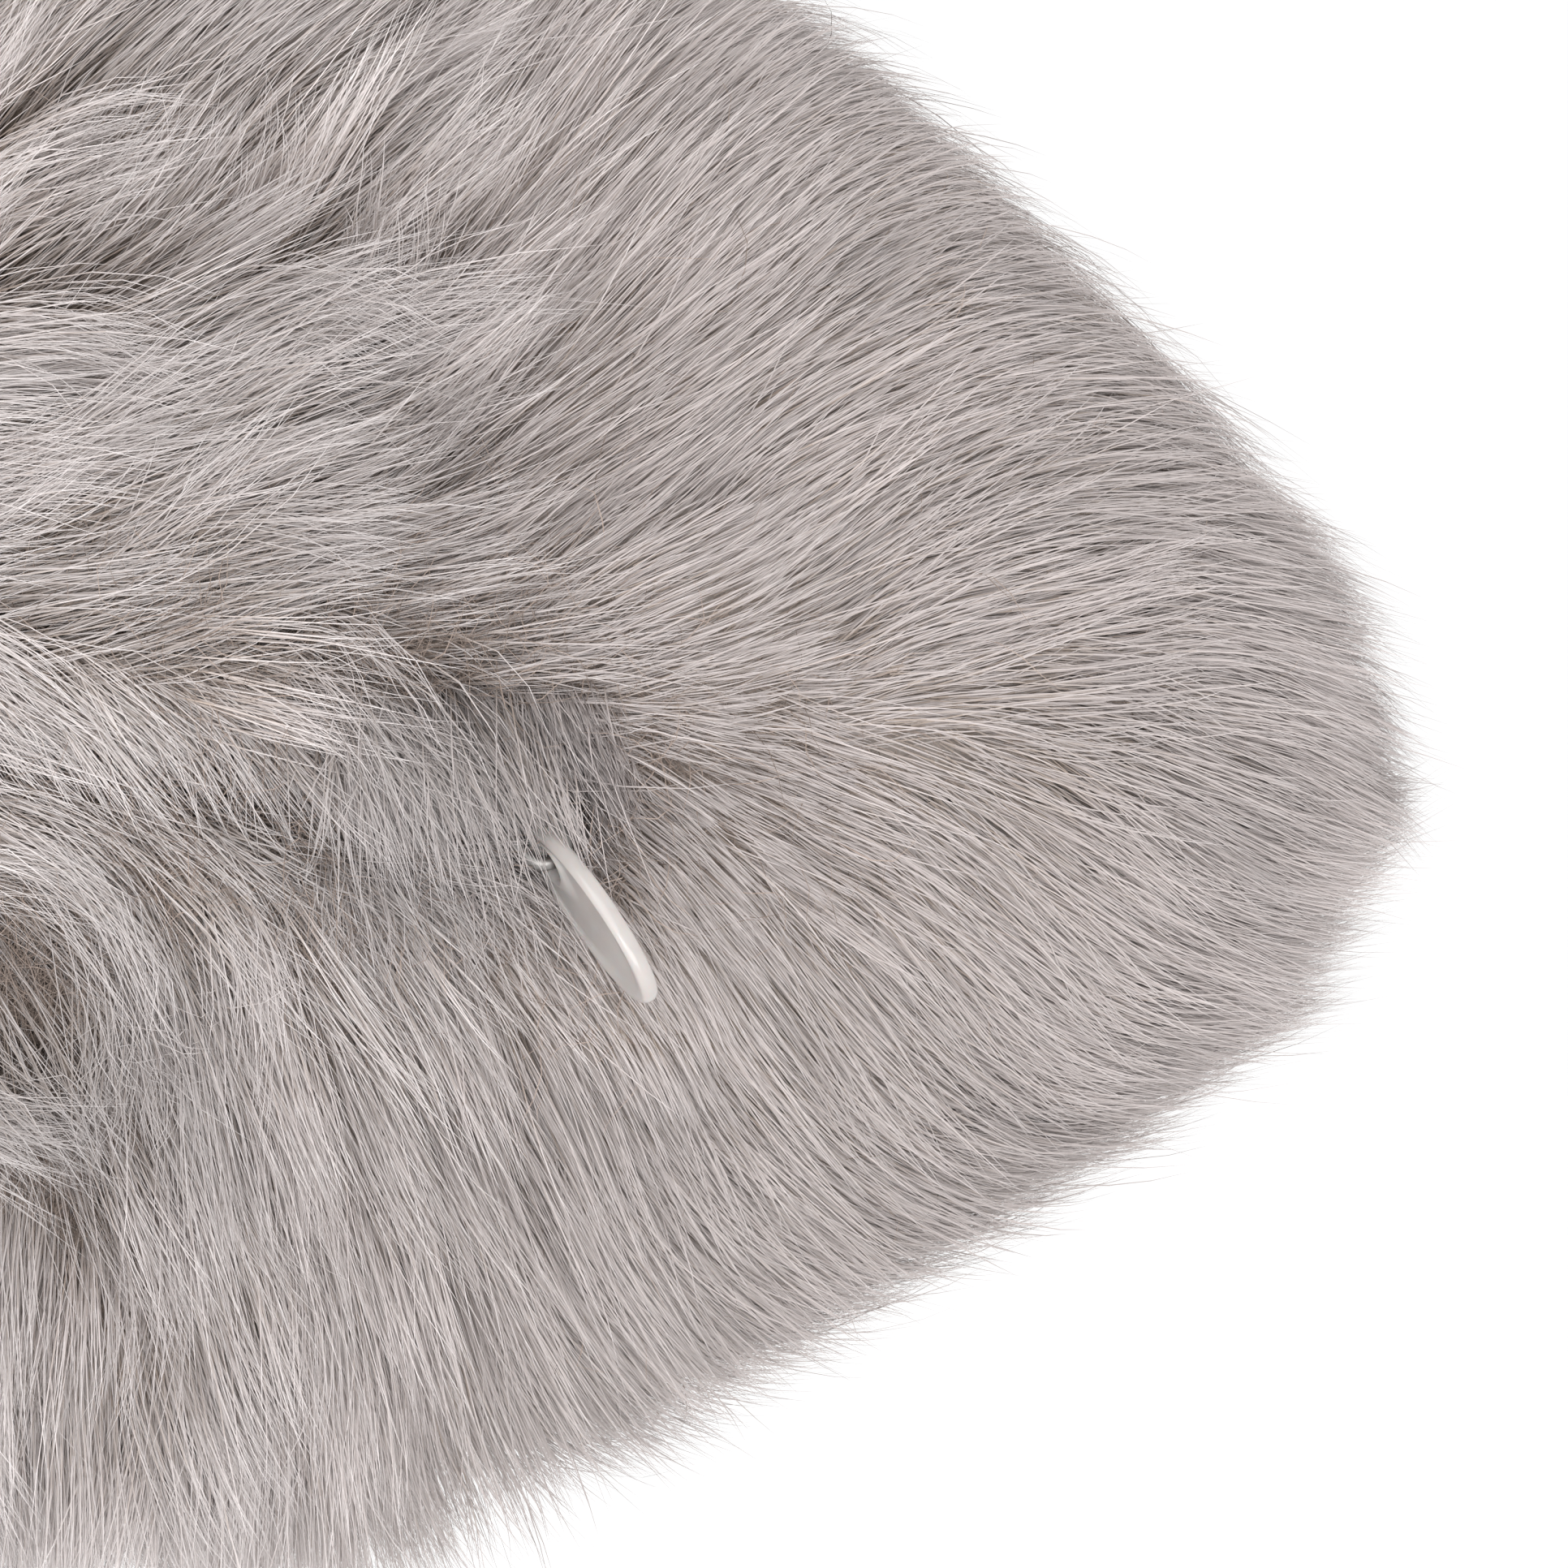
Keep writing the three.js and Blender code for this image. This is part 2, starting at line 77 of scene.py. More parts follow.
def hump(value, width):
    """A smooth hump: 1 where the value is 0, and next to nothing beyond twice the width."""
    return np.exp(-((value / width) ** 2))


def normalised(v):
    return v / np.maximum(np.linalg.norm(v, axis=-1, keepdims=True), 1e-9)


# ---- sizes, from the frame ----


def heights_mm(node):
    """How far a part beside the zip lies from the axis, at its inner and its outer face."""
    low, high = box_mm(node)
    return -high[1], -low[1]


CORE_TIP = box_mm("foam_nose")[1][0]
NOSE_SPLIT, _, CORE_RADIUS = box_mm("foam_body")[1]
(FUR_REAR, _, _), (FUR_TIP, _, FUR_RADIUS) = box_mm("fur_panel_upper")
(ZIP_REAR, _, TAPE_INNER), (ZIP_FRONT, _, TAPE_OUTER) = box_mm("zip_tape_upper")
(TEETH_REAR, _, _), (TEETH_FRONT, _, TEETH_OUTER) = box_mm("zip_teeth_upper")
(SLIDER_REAR, _, _), (SLIDER_NOSE, _, _) = box_mm("zip_slider")
(HEM_REAR, _, _), (HEM_FRONT, _, HEM_OUTER) = box_mm("hem_channel")
TAPE_TOP = heights_mm("zip_tape_upper")[1]
TEETH_LOW, TEETH_TOP = heights_mm("zip_teeth_upper")
GUARD_HALF = box_mm("zip_guard_strip")[1][2]
BINDING_HALF = box_mm("seam_binding")[1][2]
SLIDER_FRONT = SLIDER_NOSE + 0.4
SLIDER_X = (SLIDER_REAR + SLIDER_NOSE) / 2

# How the outline of the core and of the pile is drawn.
NOSE_START = 158.0
SHOULDER_END = 45.0
SHOULDER_DROP = 27.7
SHOULDER_REACH = 32.8
SHOULDER_SWEEP = math.radians(65)
CORE_POWER = 1.5
HEM_PLANE, HEM_RADIUS = 12.2, 32.5
PILE_REAR_RADIUS = 38.0
NOSE_FLARE = 0.84
NOSE_BLUNT = 10.2
NOSE_BULGE, BULGE_AT = 4.8, 9.0
PILE_MIDDLE = 150.0  # the pile's tips spread more and more from here to the nose
DROOP = 2.2  # how far the pile sags under its own weight
LINING = (0.45, 1.15)  # inner and outer heights above the foam
BINDING = (1.55, 2.05)
BACKING = (2.4, 3.2)
ROOTS = 3.0


# ---- making meshes ----

SAME_POINT = 2e-6  # points closer than this, in metres, are merged


def in_scene(name, data):
    """A new object for a mesh, camera or light."""
    made = bpy.data.objects.new(name, data)
    bpy.context.scene.collection.objects.link(made)
    return made


def placed(mesh, body="root"):
    """A finished mesh as a piece of the same name, riding on a body."""
    mesh.update()
    piece = in_scene(mesh.name, mesh)
    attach(piece, body)
    return piece


def mesh_piece(name, points, faces, material, body="root"):
    """A piece from points in millimetres and faces, riding on a body."""
    mesh = bpy.data.meshes.new(name)
    mesh.from_pydata([tuple(p) for p in np.asarray(points) * MM], [], [tuple(f) for f in faces])
    made = bmesh.new()
    made.from_mesh(mesh)
    bmesh.ops.remove_doubles(made, verts=made.verts, dist=SAME_POINT)
    bmesh.ops.recalc_face_normals(made, faces=made.faces)
    made.to_mesh(mesh)
    made.free()
    mesh.polygons.foreach_set("use_smooth", np.ones(len(mesh.polygons), bool))
    mesh.materials.append(material)
    return placed(mesh, body)


def grid_faces(rows, columns, start=0, wrap_rows=False, wrap_columns=False):
    """Quads over a grid of points numbered row by row."""
    faces = []
    for i in range(rows if wrap_rows else rows - 1):
        for j in range(columns if wrap_columns else columns - 1):
            k, m = (i + 1) % rows, (j + 1) % columns
            faces.append([start + a * columns + b for a, b in ((i, j), (k, j), (k, m), (i, m))])
    return faces


def closed_shell(name, outer, inner, material):
    """A thin closed piece between two grids of points, joined along all four edges."""
    rows, columns = outer.shape[:2]
    count = rows * columns
    faces = grid_faces(rows, columns) + grid_faces(rows, columns, count)
    border = [(0, j) for j in range(columns)] + [(i, columns - 1) for i in range(1, rows)]
    border += [(rows - 1, j) for j in range(columns - 2, -1, -1)]
    border += [(i, 0) for i in range(rows - 2, 0, -1)]
    ring = [i * columns + j for i, j in border]
    for a, b in zip(ring, ring[1:] + ring[:1]):
        faces.append([a, b, b + count, a + count])
    points = np.concatenate([outer.reshape(-1, 3), inner.reshape(-1, 3)])
    return mesh_piece(name, points, faces, material)


def softened(outline, radius, steps=3):
    """A closed outline with each corner rounded, by no more than a third of its shorter side."""
    points = [np.array(p, float) for p in outline]
    result = []
    for i, corner in enumerate(points):
        before, after = points[i - 1] - corner, points[(i + 1) % len(points)] - corner
        reach = min(radius, np.linalg.norm(before) / 3, np.linalg.norm(after) / 3)
        start = corner + normalised(before) * reach
        end = corner + normalised(after) * reach
        for k in range(steps + 1):
            t = k / steps
            result.append((1 - t) ** 2 * start + 2 * t * (1 - t) * corner + t * t * end)
    return np.array(result)


def turned(name, outline, material, segments=128, shape=None):
    """A piece turned about X from a closed outline of [x, radius] points. shape(x, radius, theta)
    gives a radius that varies round the axis."""
    theta = np.arange(segments) * 2 * math.pi / segments
    x = np.repeat(outline[:, :1], segments, 1)
    r = np.repeat(outline[:, 1:], segments, 1)
    theta = np.repeat(theta[None], len(outline), 0)
    if shape:
        x, r = shape(x, r, theta)
    points = np.stack([x, -r * np.cos(theta), r * np.sin(theta)], -1)
    faces = grid_faces(len(outline), segments, wrap_rows=True, wrap_columns=True)
    return mesh_piece(name, points.reshape(-1, 3), faces, material)


def wire(path, radius, sides, closed, start):
    """The points of a round wire along a path, and its faces, with flat ends where it is open."""
    if closed:
        tangent = normalised(np.roll(path, -1, 0) - np.roll(path, 1, 0))
    else:
        tangent = normalised(np.gradient(path, axis=0))
    side = np.cross(tangent[0], [0.31, 0.52, 0.79])
    points = []
    for place, direction in zip(path, tangent):
        side = normalised(side - direction * (side @ direction))
        other = np.cross(direction, side)
        for k in range(sides):
            angle = 2 * math.pi * k / sides
            points.append(place + radius * (side * math.cos(angle) + other * math.sin(angle)))
    faces = grid_faces(len(path), sides, start, closed, True)
    if not closed:
        last = start + (len(path) - 1) * sides
        faces += [[first + k for k in range(sides)] for first in (start, last)]
    return points, faces


def wires(name, paths, radius, material, slot, sides, closed=False, body="root"):
    """One or more round wires as one piece."""
    points, faces = [], []
    for path in paths:
        more_points, more_faces = wire(path, radius, sides, closed, len(points))
        points += more_points
        faces += more_faces
    return mesh_piece(name, points, faces, material, body)


# ---- the fabric's surface ----


def core_profile(steps=600):
    """The fabric's path along the foam, from the hem to the tip: stations x and radii r."""
    sweep = np.linspace(SHOULDER_SWEEP, 0, steps // 4)
    rear_x = SHOULDER_END - SHOULDER_REACH * np.sin(sweep)
    rear_r = CORE_RADIUS - SHOULDER_DROP * (1 - np.cos(sweep))
    straight_x = np.linspace(SHOULDER_END, NOSE_START, steps // 4)[1:]
    straight_r = np.full_like(straight_x, CORE_RADIUS)
    angle = np.linspace(0, math.pi / 2, steps // 2)[1:]
    nose_x = NOSE_START + (CORE_TIP - NOSE_START) * np.sin(angle) ** (2 / CORE_POWER)
    nose_r = CORE_RADIUS * np.maximum(np.cos(angle), 0) ** (2 / CORE_POWER)
    x = np.r_[HEM_PLANE, rear_x, straight_x, nose_x]
    r = np.r_[HEM_RADIUS, rear_r, straight_r, nose_r]
    return x, r


def pile_reach(x):
    """The radius that the pile's outer surface has at a station, and -1 beyond its ends."""
    behind = FUR_TIP - x
    nose = NOSE_FLARE * behind + NOSE_BLUNT * (1 - np.exp(-np.maximum(behind, 0) / 3))
    nose = nose + NOSE_BULGE * behind / BULGE_AT * np.exp(1 - np.maximum(behind, 0) / BULGE_AT)
    nose = np.where(behind < 0, -1, nose)
    along = np.clip((SHOULDER_END - x) / (SHOULDER_END - FUR_REAR), 0, 1)
    rear = PILE_REAR_RADIUS + (FUR_RADIUS - PILE_REAR_RADIUS) * np.sqrt(1 - along**2)
    rear = np.where(x < FUR_REAR, -1, rear)
    return np.minimum(np.minimum(nose, rear), FUR_RADIUS)


class Skin:
    """Surfaces at any height above the foam, looked up by distance along its outline."""

    def __init__(self):
        self.x, self.r = core_profile()
        step = np.hypot(np.diff(self.x), np.diff(self.r))
        self.arc = np.r_[0, np.cumsum(step)]
        dx, dr = np.gradient(self.x, self.arc), np.gradient(self.r, self.arc)
        length = np.hypot(dx, dr)
        self.tx, self.tr = dx / length, dr / length
        ring = np.maximum(self.r + ROOTS * self.tx, 0.5)
        self.area = np.r_[0, np.cumsum((ring[1:] + ring[:-1]) * math.pi * step)]
        self.depth = self.pile_depth()

    def pile_depth(self):
        """How deep the pile is at each station, square to the skin."""
        rise = np.arange(0, 45, 0.25)
        x = (self.x - ROOTS * self.tr)[:, None] - rise * self.tr[:, None]
        r = (self.r + ROOTS * self.tx)[:, None] + rise * self.tx[:, None]
        outside = r > pile_reach(x)
        outside[:, -1] = True
        depth = rise[outside.argmax(1)]
        kernel = np.ones(25) / 25
        return np.convolve(np.pad(depth, 12, mode="edge"), kernel, mode="valid")

    def at(self, arc, theta, above):
        """Points, outward normals, forward tangents and round-about tangents."""
        tx = np.interp(arc, self.arc, self.tx)
        tr = np.interp(arc, self.arc, self.tr)
        x = np.interp(arc, self.arc, self.x) - above * tr
        r = np.maximum(np.interp(arc, self.arc, self.r) + above * tx, 0)
        if above >= BACKING[0]:
            r = r + self.over_tapes(x, r, theta, above - BACKING[0])
        c, s = np.cos(theta), np.sin(theta)
        point = np.stack([x, -r * c, r * s], -1)
        forward = np.stack([tx, -tr * c, tr * s], -1)
        normal = np.stack([-tr, -tx * c, tx * s], -1)
        about = np.stack([np.zeros_like(x), s, c], -1)
        return point, normal, forward, about

    def over_tapes(self, x, r, theta, above):
        """How far the backing rises where it lies over the zip's flat tapes."""
        z = np.abs(r * np.sin(theta))
        lying = smooth(z, TAPE_OUTER + 6, TAPE_OUTER + 0.5) * (np.cos(theta) > 0)
        along = smooth(x, ZIP_REAR - 9, ZIP_REAR - 1) * smooth(x, ZIP_FRONT + 11, ZIP_FRONT + 1)
        flat = (TAPE_TOP + 0.3 + above) / np.maximum(np.cos(theta), 0.5)
        return np.maximum(flat - r, 0) * lying * along

    def arc_at(self, x):
        return np.interp(x, self.x, self.arc)

    def scatter(self, count, weight):
        """Places spread over the surface, denser where weight(x, theta) is higher."""
        arc = np.empty(0)
        theta = np.empty(0)
        while len(arc) < count:
            tries = count * 2
            a = np.interp(rng.random(tries) * self.area[-1], self.area, self.arc)
            t = rng.uniform(-math.pi, math.pi, tries)
            x = np.interp(a, self.arc, self.x)
            r = np.interp(a, self.arc, self.r) + ROOTS
            planted = rng.random(tries) < weight(x, t)
            over_teeth = (np.abs(r * np.sin(t)) < TEETH_OUTER + 0.3) & (np.cos(t) > 0)
            planted &= ~(over_teeth & (x > ZIP_REAR + 2) & (x < SLIDER_FRONT + 1.5))
            arc, theta = np.r_[arc, a[planted]], np.r_[theta, t[planted]]
        return arc[:count], theta[:count]


skin = Skin()


# ---- smooth noise ----


class Waves:
    """Smooth noise over space: a sum of plane waves of about one wavelength, roughly -1 to 1."""

    def __init__(self, wavelength, count=14):
        direction = rng.normal(size=(count, 3))
        direction = normalised(direction)
        self.k = direction * 2 * math.pi / (wavelength * rng.uniform(0.7, 1.4, count))[:, None]
        self.phase = rng.uniform(0, 2 * math.pi, count)
        self.scale = math.sqrt(2 / count) * 0.8

    def __call__(self, point):
        return np.sin(point @ self.k.T + self.phase).sum(-1) * self.scale


broad_turn = Waves(42)
fine_turn = Waves(13)
broad_lift = Waves(30)
fine_lift = Waves(9)
pile_height = Waves(17)


# ---- the view, which the groom also uses ----

FRAME_WIDTH = 119.8  # across the view, at the object
VIEW_RISE = math.radians(8)
VIEW_ROLL = math.radians(7)
VIEW_DISTANCE = 3000.0
SENSOR = 36  # width
CENTRE_BEHIND_TIP = 51.2
CENTRE_ABOVE = 0.9
VIEW_BACK = np.array([0, -math.cos(VIEW_RISE), math.sin(VIEW_RISE)])


# ---- the groom ----

PARTING = 6.0  # above the zip's line
# Turn of the hair away from the axis, in degrees, by distance behind the tip.
FAN_STATIONS = [0, 20, 40, 60, 80, 110, 150, 240]
FAN_ABOVE = [12, 30, 42, 52, 50, 22, 18, 16]
FAN_BELOW = [12, 27, 42, 54, 60, 58, 50, 30]
LENGTH_STATIONS = [0, 20, 45, 70, 100, 240]
LENGTHS = [15, 18, 22, 26, 29, 28]
PART_WIDTH_ABOVE, PART_WIDTH_BELOW = 11, 6  # how soon the hair fans out beside the parting
TUFTS_BEGIN, TUFTS_FULL = 58, 108  # behind the tip, where the groom grows wild
VALLEY_DEPTH = 9.2  # pile left over the zip
ZIP_HOLLOW_WIDTH = 17
SEAM_WIDTH = 7
WHORL = skin.at(skin.arc_at(np.array([125.5])), np.array([-0.385]), ROOTS)[0][0]
VALLEY = np.array([149.0, 0.0, -1.5])  # the middle of the hollow behind the pull
WHORL_RADIUS = 12.0
WHORL_OPENING = 10.0


def groom(arc, theta, point, normal, forward, about):
    """The flow direction, root lift, tip lift and pile length at each place."""
    x = point[:, 0]
    behind = FUR_TIP - x
    round_by = theta * np.hypot(point[:, 1], point[:, 2]) - PARTING
    round_by = round_by + 1.2 * fine_turn(point) + rng.normal(size=len(x)) * 0.9
    side = np.where(round_by > 0, 1, -1)
    away = np.abs(round_by)
    wild = smooth(behind, TUFTS_BEGIN, TUFTS_FULL)
    fan = np.interp(behind, FAN_STATIONS, FAN_ABOVE)
    fan = np.where(side > 0, fan, np.interp(behind, FAN_STATIONS, FAN_BELOW))
    part_width = np.where(side > 0, PART_WIDTH_ABOVE, PART_WIDTH_BELOW)
    fan = fan * (1 - 0.85 * np.exp(-(away + 0.5) / part_width))
    fan = fan * (1 - smooth(np.abs(theta), 1.0, math.pi))
    turn = broad_turn(point) * (5 + 7 * wild) + fine_turn(point) * (3 + 6 * wild)
    angle = np.radians(fan * side + turn)
    flow = forward * np.cos(angle)[:, None] + about * np.sin(angle)[:, None]
    rear = smooth(x, 50, 14)
    flow = flow * (1 - 1.35 * rear)[:, None]
    from_whorl = point - WHORL
    distance = np.linalg.norm(from_whorl, axis=1)
    whorl = hump(distance, WHORL_RADIUS)
    whorl = whorl * (1 - 0.85 * smooth(from_whorl[:, 2], 0, 7))
    flow = flow + normalised(from_whorl) * (3.2 * whorl)[:, None]
    flow = flow - normal * (flow * normal).sum(1)[:, None]
    flow = normalised(flow) * np.minimum(np.linalg.norm(flow, axis=1), 1)[:, None]

    length = np.interp(behind, LENGTH_STATIONS, LENGTHS) + 1.8 * pile_height(point)
    length = length * (1 - 0.45 * whorl) * (1 - 0.25 * rear)
    depth = np.interp(arc, skin.arc, skin.depth) - DROOP * normal[:, 2]
    z = np.abs(point[:, 2])
    over_zip = hump(z, ZIP_HOLLOW_WIDTH) * (np.cos(theta) > 0)
    over_zip = over_zip * smooth(x, 30, 50) * smooth(behind, 47, 62)
    depth = depth + (np.minimum(VALLEY_DEPTH, depth) - depth) * over_zip
    height = depth * (0.95 + 0.1 * broad_lift(point) + (0.04 + 0.1 * wild) * fine_lift(point))
    lift = np.arcsin(np.clip(height / length, math.sin(0.2), math.sin(1.3)))
    bend = np.radians(12 + 4 * smooth(lift, 0.3, 0.8) - 5 * wild)
    seam = hump(z, SEAM_WIDTH) * (over_zip > 0) * smooth(behind, 50, 60)
    root_lift = lift + bend + np.radians(34) * seam
    tip_lift = lift - bend - np.radians(26) * seam
    return flow, root_lift, tip_lift, length


def guide(point, normal, flow, root_lift, tip_lift, length, steps):
    """Curves that leave the surface at root_lift and bend over to tip_lift: (n, steps + 1, 3)."""
    t = (np.arange(steps) + 0.5) / steps
    lift = root_lift[:, None] + (tip_lift - root_lift)[:, None] * t
    rising, lying = np.sin(lift)[..., None], np.cos(lift)[..., None]
    direction = normalised(normal[:, None] * rising + flow[:, None] * lying)
    step = direction * (length / steps)[:, None, None]
    start = point[:, None]
    return np.concatenate([start, start + np.cumsum(step, axis=1)], axis=1)


def nearest(centres, places):
    tree = KDTree(len(centres))
    for i, c in enumerate(centres):
        tree.insert(c, i)
    tree.balance()
    return np.array([tree.find(p)[1] for p in places])


HAIR_STEPS = 5
ALONG_HAIR = np.linspace(0, 1, HAIR_STEPS + 1)  # from root to tip


def grow(arc, theta, turn_by, lift_by, steps=HAIR_STEPS, length_by=1.0):
    """Guide curves at places on the skin, each turned and lifted by a little chance."""
    point, normal, forward, about = skin.at(arc, theta, ROOTS)
    flow, root_lift, tip_lift, length = groom(arc, theta, point, normal, forward, about)
    count = len(arc)
    turn = np.radians(turn_by) * rng.normal(size=count)
    across = np.cross(normal, flow)
    flow = flow * np.cos(turn)[:, None] + across * np.sin(turn)[:, None]
    lift = np.radians(lift_by) * rng.normal(size=count)
    length = length * length_by * rng.uniform(0.88, 1.1, count)
    curve = guide(point, normal, flow, root_lift + lift, tip_lift + lift, length, steps)
    return curve, normal


# ---- hairs ----

TUFTS = 1150
CLUMPS = 3600
LOCKS = 32000
NOSE_LOCKS = 2000  # more of them, round the nose's far side
HAIRS_A_LOCK = 8
LOCK_SPREAD = 0.85
THINNEST = 0.4  # planting, as a share of the thickest
TONES = 6
# Painted shade: hair over the hollow behind the pull and over the whorl is made some tones darker,
# standing in for the shade that falls there.
PAINTED_SHADE_HOLLOWS = ((VALLEY, 9.0, 1.5), (WHORL, 9.0, 3.0))  # place, radius and how many tones darker
TRIMMED_TO = (0.36, 0.43, 0.5, 0.57, 0.64, 0.71, 0.78, 0.85, 0.92, 1.0)
SHORTEST = 0.3


def planting(x, theta):
    """How densely the pile is planted: most on the zip side of the nose half."""
    front = smooth(x, 70, 120)
    zip_side = smooth(np.abs(theta), 2.2, 1.3)
    return THINNEST + 0.6 * front * zip_side


def nose_planting(x, theta):
    """What the nose needs on top, to be as thick on its far side as on its near side."""
    return (1 - planting(x, theta)) * smooth(x, 172, 196)


def make_locks():
    """Guide curves of fine locks, drawn together in clumps and, towards the rear, in big tufts."""
    tuft_curve, _ = grow(*skin.scatter(TUFTS, planting), 11, 17)
    clump_curve, _ = grow(*skin.scatter(CLUMPS, planting), 7, 9)
    lock_curve, normal = grow(*skin.scatter(LOCKS, planting), 5, 5)
    more_curve, more_normal = grow(*skin.scatter(NOSE_LOCKS, nose_planting), 5, 5)
    lock_curve = np.concatenate([lock_curve, more_curve])
    normal = np.concatenate([normal, more_normal])
    clump = nearest(clump_curve[:, 0], lock_curve[:, 0])
    tuft = nearest(tuft_curve[:, 0], lock_curve[:, 0])
    t = ALONG_HAIR[None, :, None]
    wild = smooth(FUR_TIP - lock_curve[:, 0, 0], 50, 105)[:, None, None]
    lock_curve = lock_curve + (clump_curve[clump] - lock_curve) * (0.46 + 0.2 * wild) * t**1.4
    lock_curve = lock_curve + (tuft_curve[tuft] - lock_curve) * (0.2 + 0.56 * wild) * t**1.35
    tone = rng.normal(size=TUFTS)[tuft] * 0.75 + rng.normal(size=CLUMPS)[clump] * 0.75
    tone = tone + rng.normal(size=len(lock_curve)) * 0.35
    return lock_curve, normal, tone * (0.5 + 0.35 * wild[:, 0, 0])


def points_along(curve, at):
    """Points of each curve at places counted in steps from its root, whole or not."""
    low = np.minimum(at.astype(int), curve.shape[1] - 2)
    row = np.arange(len(curve))[:, None]
    return curve[row, low] + (curve[row, low + 1] - curve[row, low]) * (at - low)[..., None]


def shortened(curve, share):
    """Each hair cut off at a share of its length, and divided into as many steps as before."""
    steps = curve.shape[1] - 1
    return points_along(curve, np.linspace(0, 1, steps + 1)[None] * share[:, None] * steps)


def sideways(curve, normal):
    """Two directions across each curve, square to each other."""
    along = normalised(curve[:, -1] - curve[:, 0])
    u = normalised(np.cross(along, normal))
    return u, np.cross(along, u)


def trimmed(curve):
    """Each hair cut back until its tip is inside the pile's outer surface, or nearly."""
    slack = 0.77 + 0.35 * rng.beta(1.7, 2.8, len(curve))
    keep = np.full(len(curve), SHORTEST)
    for share in TRIMMED_TO:
        tip = shortened(curve, np.full(len(curve), share))[:, -1]
        onward = tip[:, 0] - PILE_MIDDLE
        onward = np.where(onward > 0, onward / slack**0.35, onward)
        reach = pile_reach(PILE_MIDDLE + onward)
        inside = np.hypot(tip[:, 1], tip[:, 2] + DROOP) <= reach * slack
        keep = np.where(inside, share, keep)
    return shortened(curve, keep)


def parted_at_whorl(curve):
    """Hair bent aside round the whorl, so that its curly under-fur is seen from the zip's side."""
    offset = curve - WHORL
    off = offset - VIEW_BACK * (offset @ VIEW_BACK)[..., None]
    distance = np.linalg.norm(off, axis=-1)
    opening = WHORL_OPENING * smooth(np.linspace(0, 1, curve.shape[1]), 0, 0.5)
    opening = opening * rng.uniform(0.7, 1.2, (len(curve), 1))
    pushed = (distance**3 + opening**3) ** (1 / 3) - distance
    pushed = pushed * (curve[..., 1] < 0)
    return curve + normalised(off) * pushed[..., None]


def make_hairs():
    lock_curve, lock_normal, lock_tone = make_locks()
    index = np.repeat(np.arange(len(lock_curve)), HAIRS_A_LOCK)
    count = len(index)
    curve = lock_curve[index]
    normal = lock_normal[index]
    t = ALONG_HAIR[None, :, None]
    u, v = sideways(curve, normal)
    spread = rng.normal(size=(count, 2)) * LOCK_SPREAD
    apart = u * spread[:, :1] + v * spread[:, 1:]
    curve = curve + apart[:, None] * (1 - 0.55 * t**1.1)
    wild = smooth(FUR_TIP - curve[:, 0, 0], 55, 100)
    splay = rng.normal(size=(count, 3)) * (0.9 + 0.9 * wild)[:, None]
    curve = curve + splay[:, None] * t**1.6
    stray = rng.random(count) < 0.035 + 0.06 * wild
    curve = curve + (rng.normal(size=(count, 3)) * 4.0 * stray[:, None])[:, None] * t**1.5
    root = curve[:, :1]
    curve = root + (curve - root) * rng.uniform(0.72, 1.08, count)[:, None, None]
    tone = lock_tone[index] + rng.normal(size=count) * 0.3
    # Painted shade: hair whose middle lies over a hollow is made darker.
    for hollow, radius, drop in PAINTED_SHADE_HOLLOWS:
        off = np.linalg.norm((curve[:, HAIR_STEPS // 2] - hollow)[:, [0, 2]], axis=1)
        tone = tone - drop * hump(off, radius) * (curve[:, 0, 1] < 0)
    return curve, normal, tone


SEAM_LOCKS = 2000
SEAM_HAIRS_A_LOCK = 7
SEAM_BAND = 3.6  # how far from the teeth the seam's hair is rooted


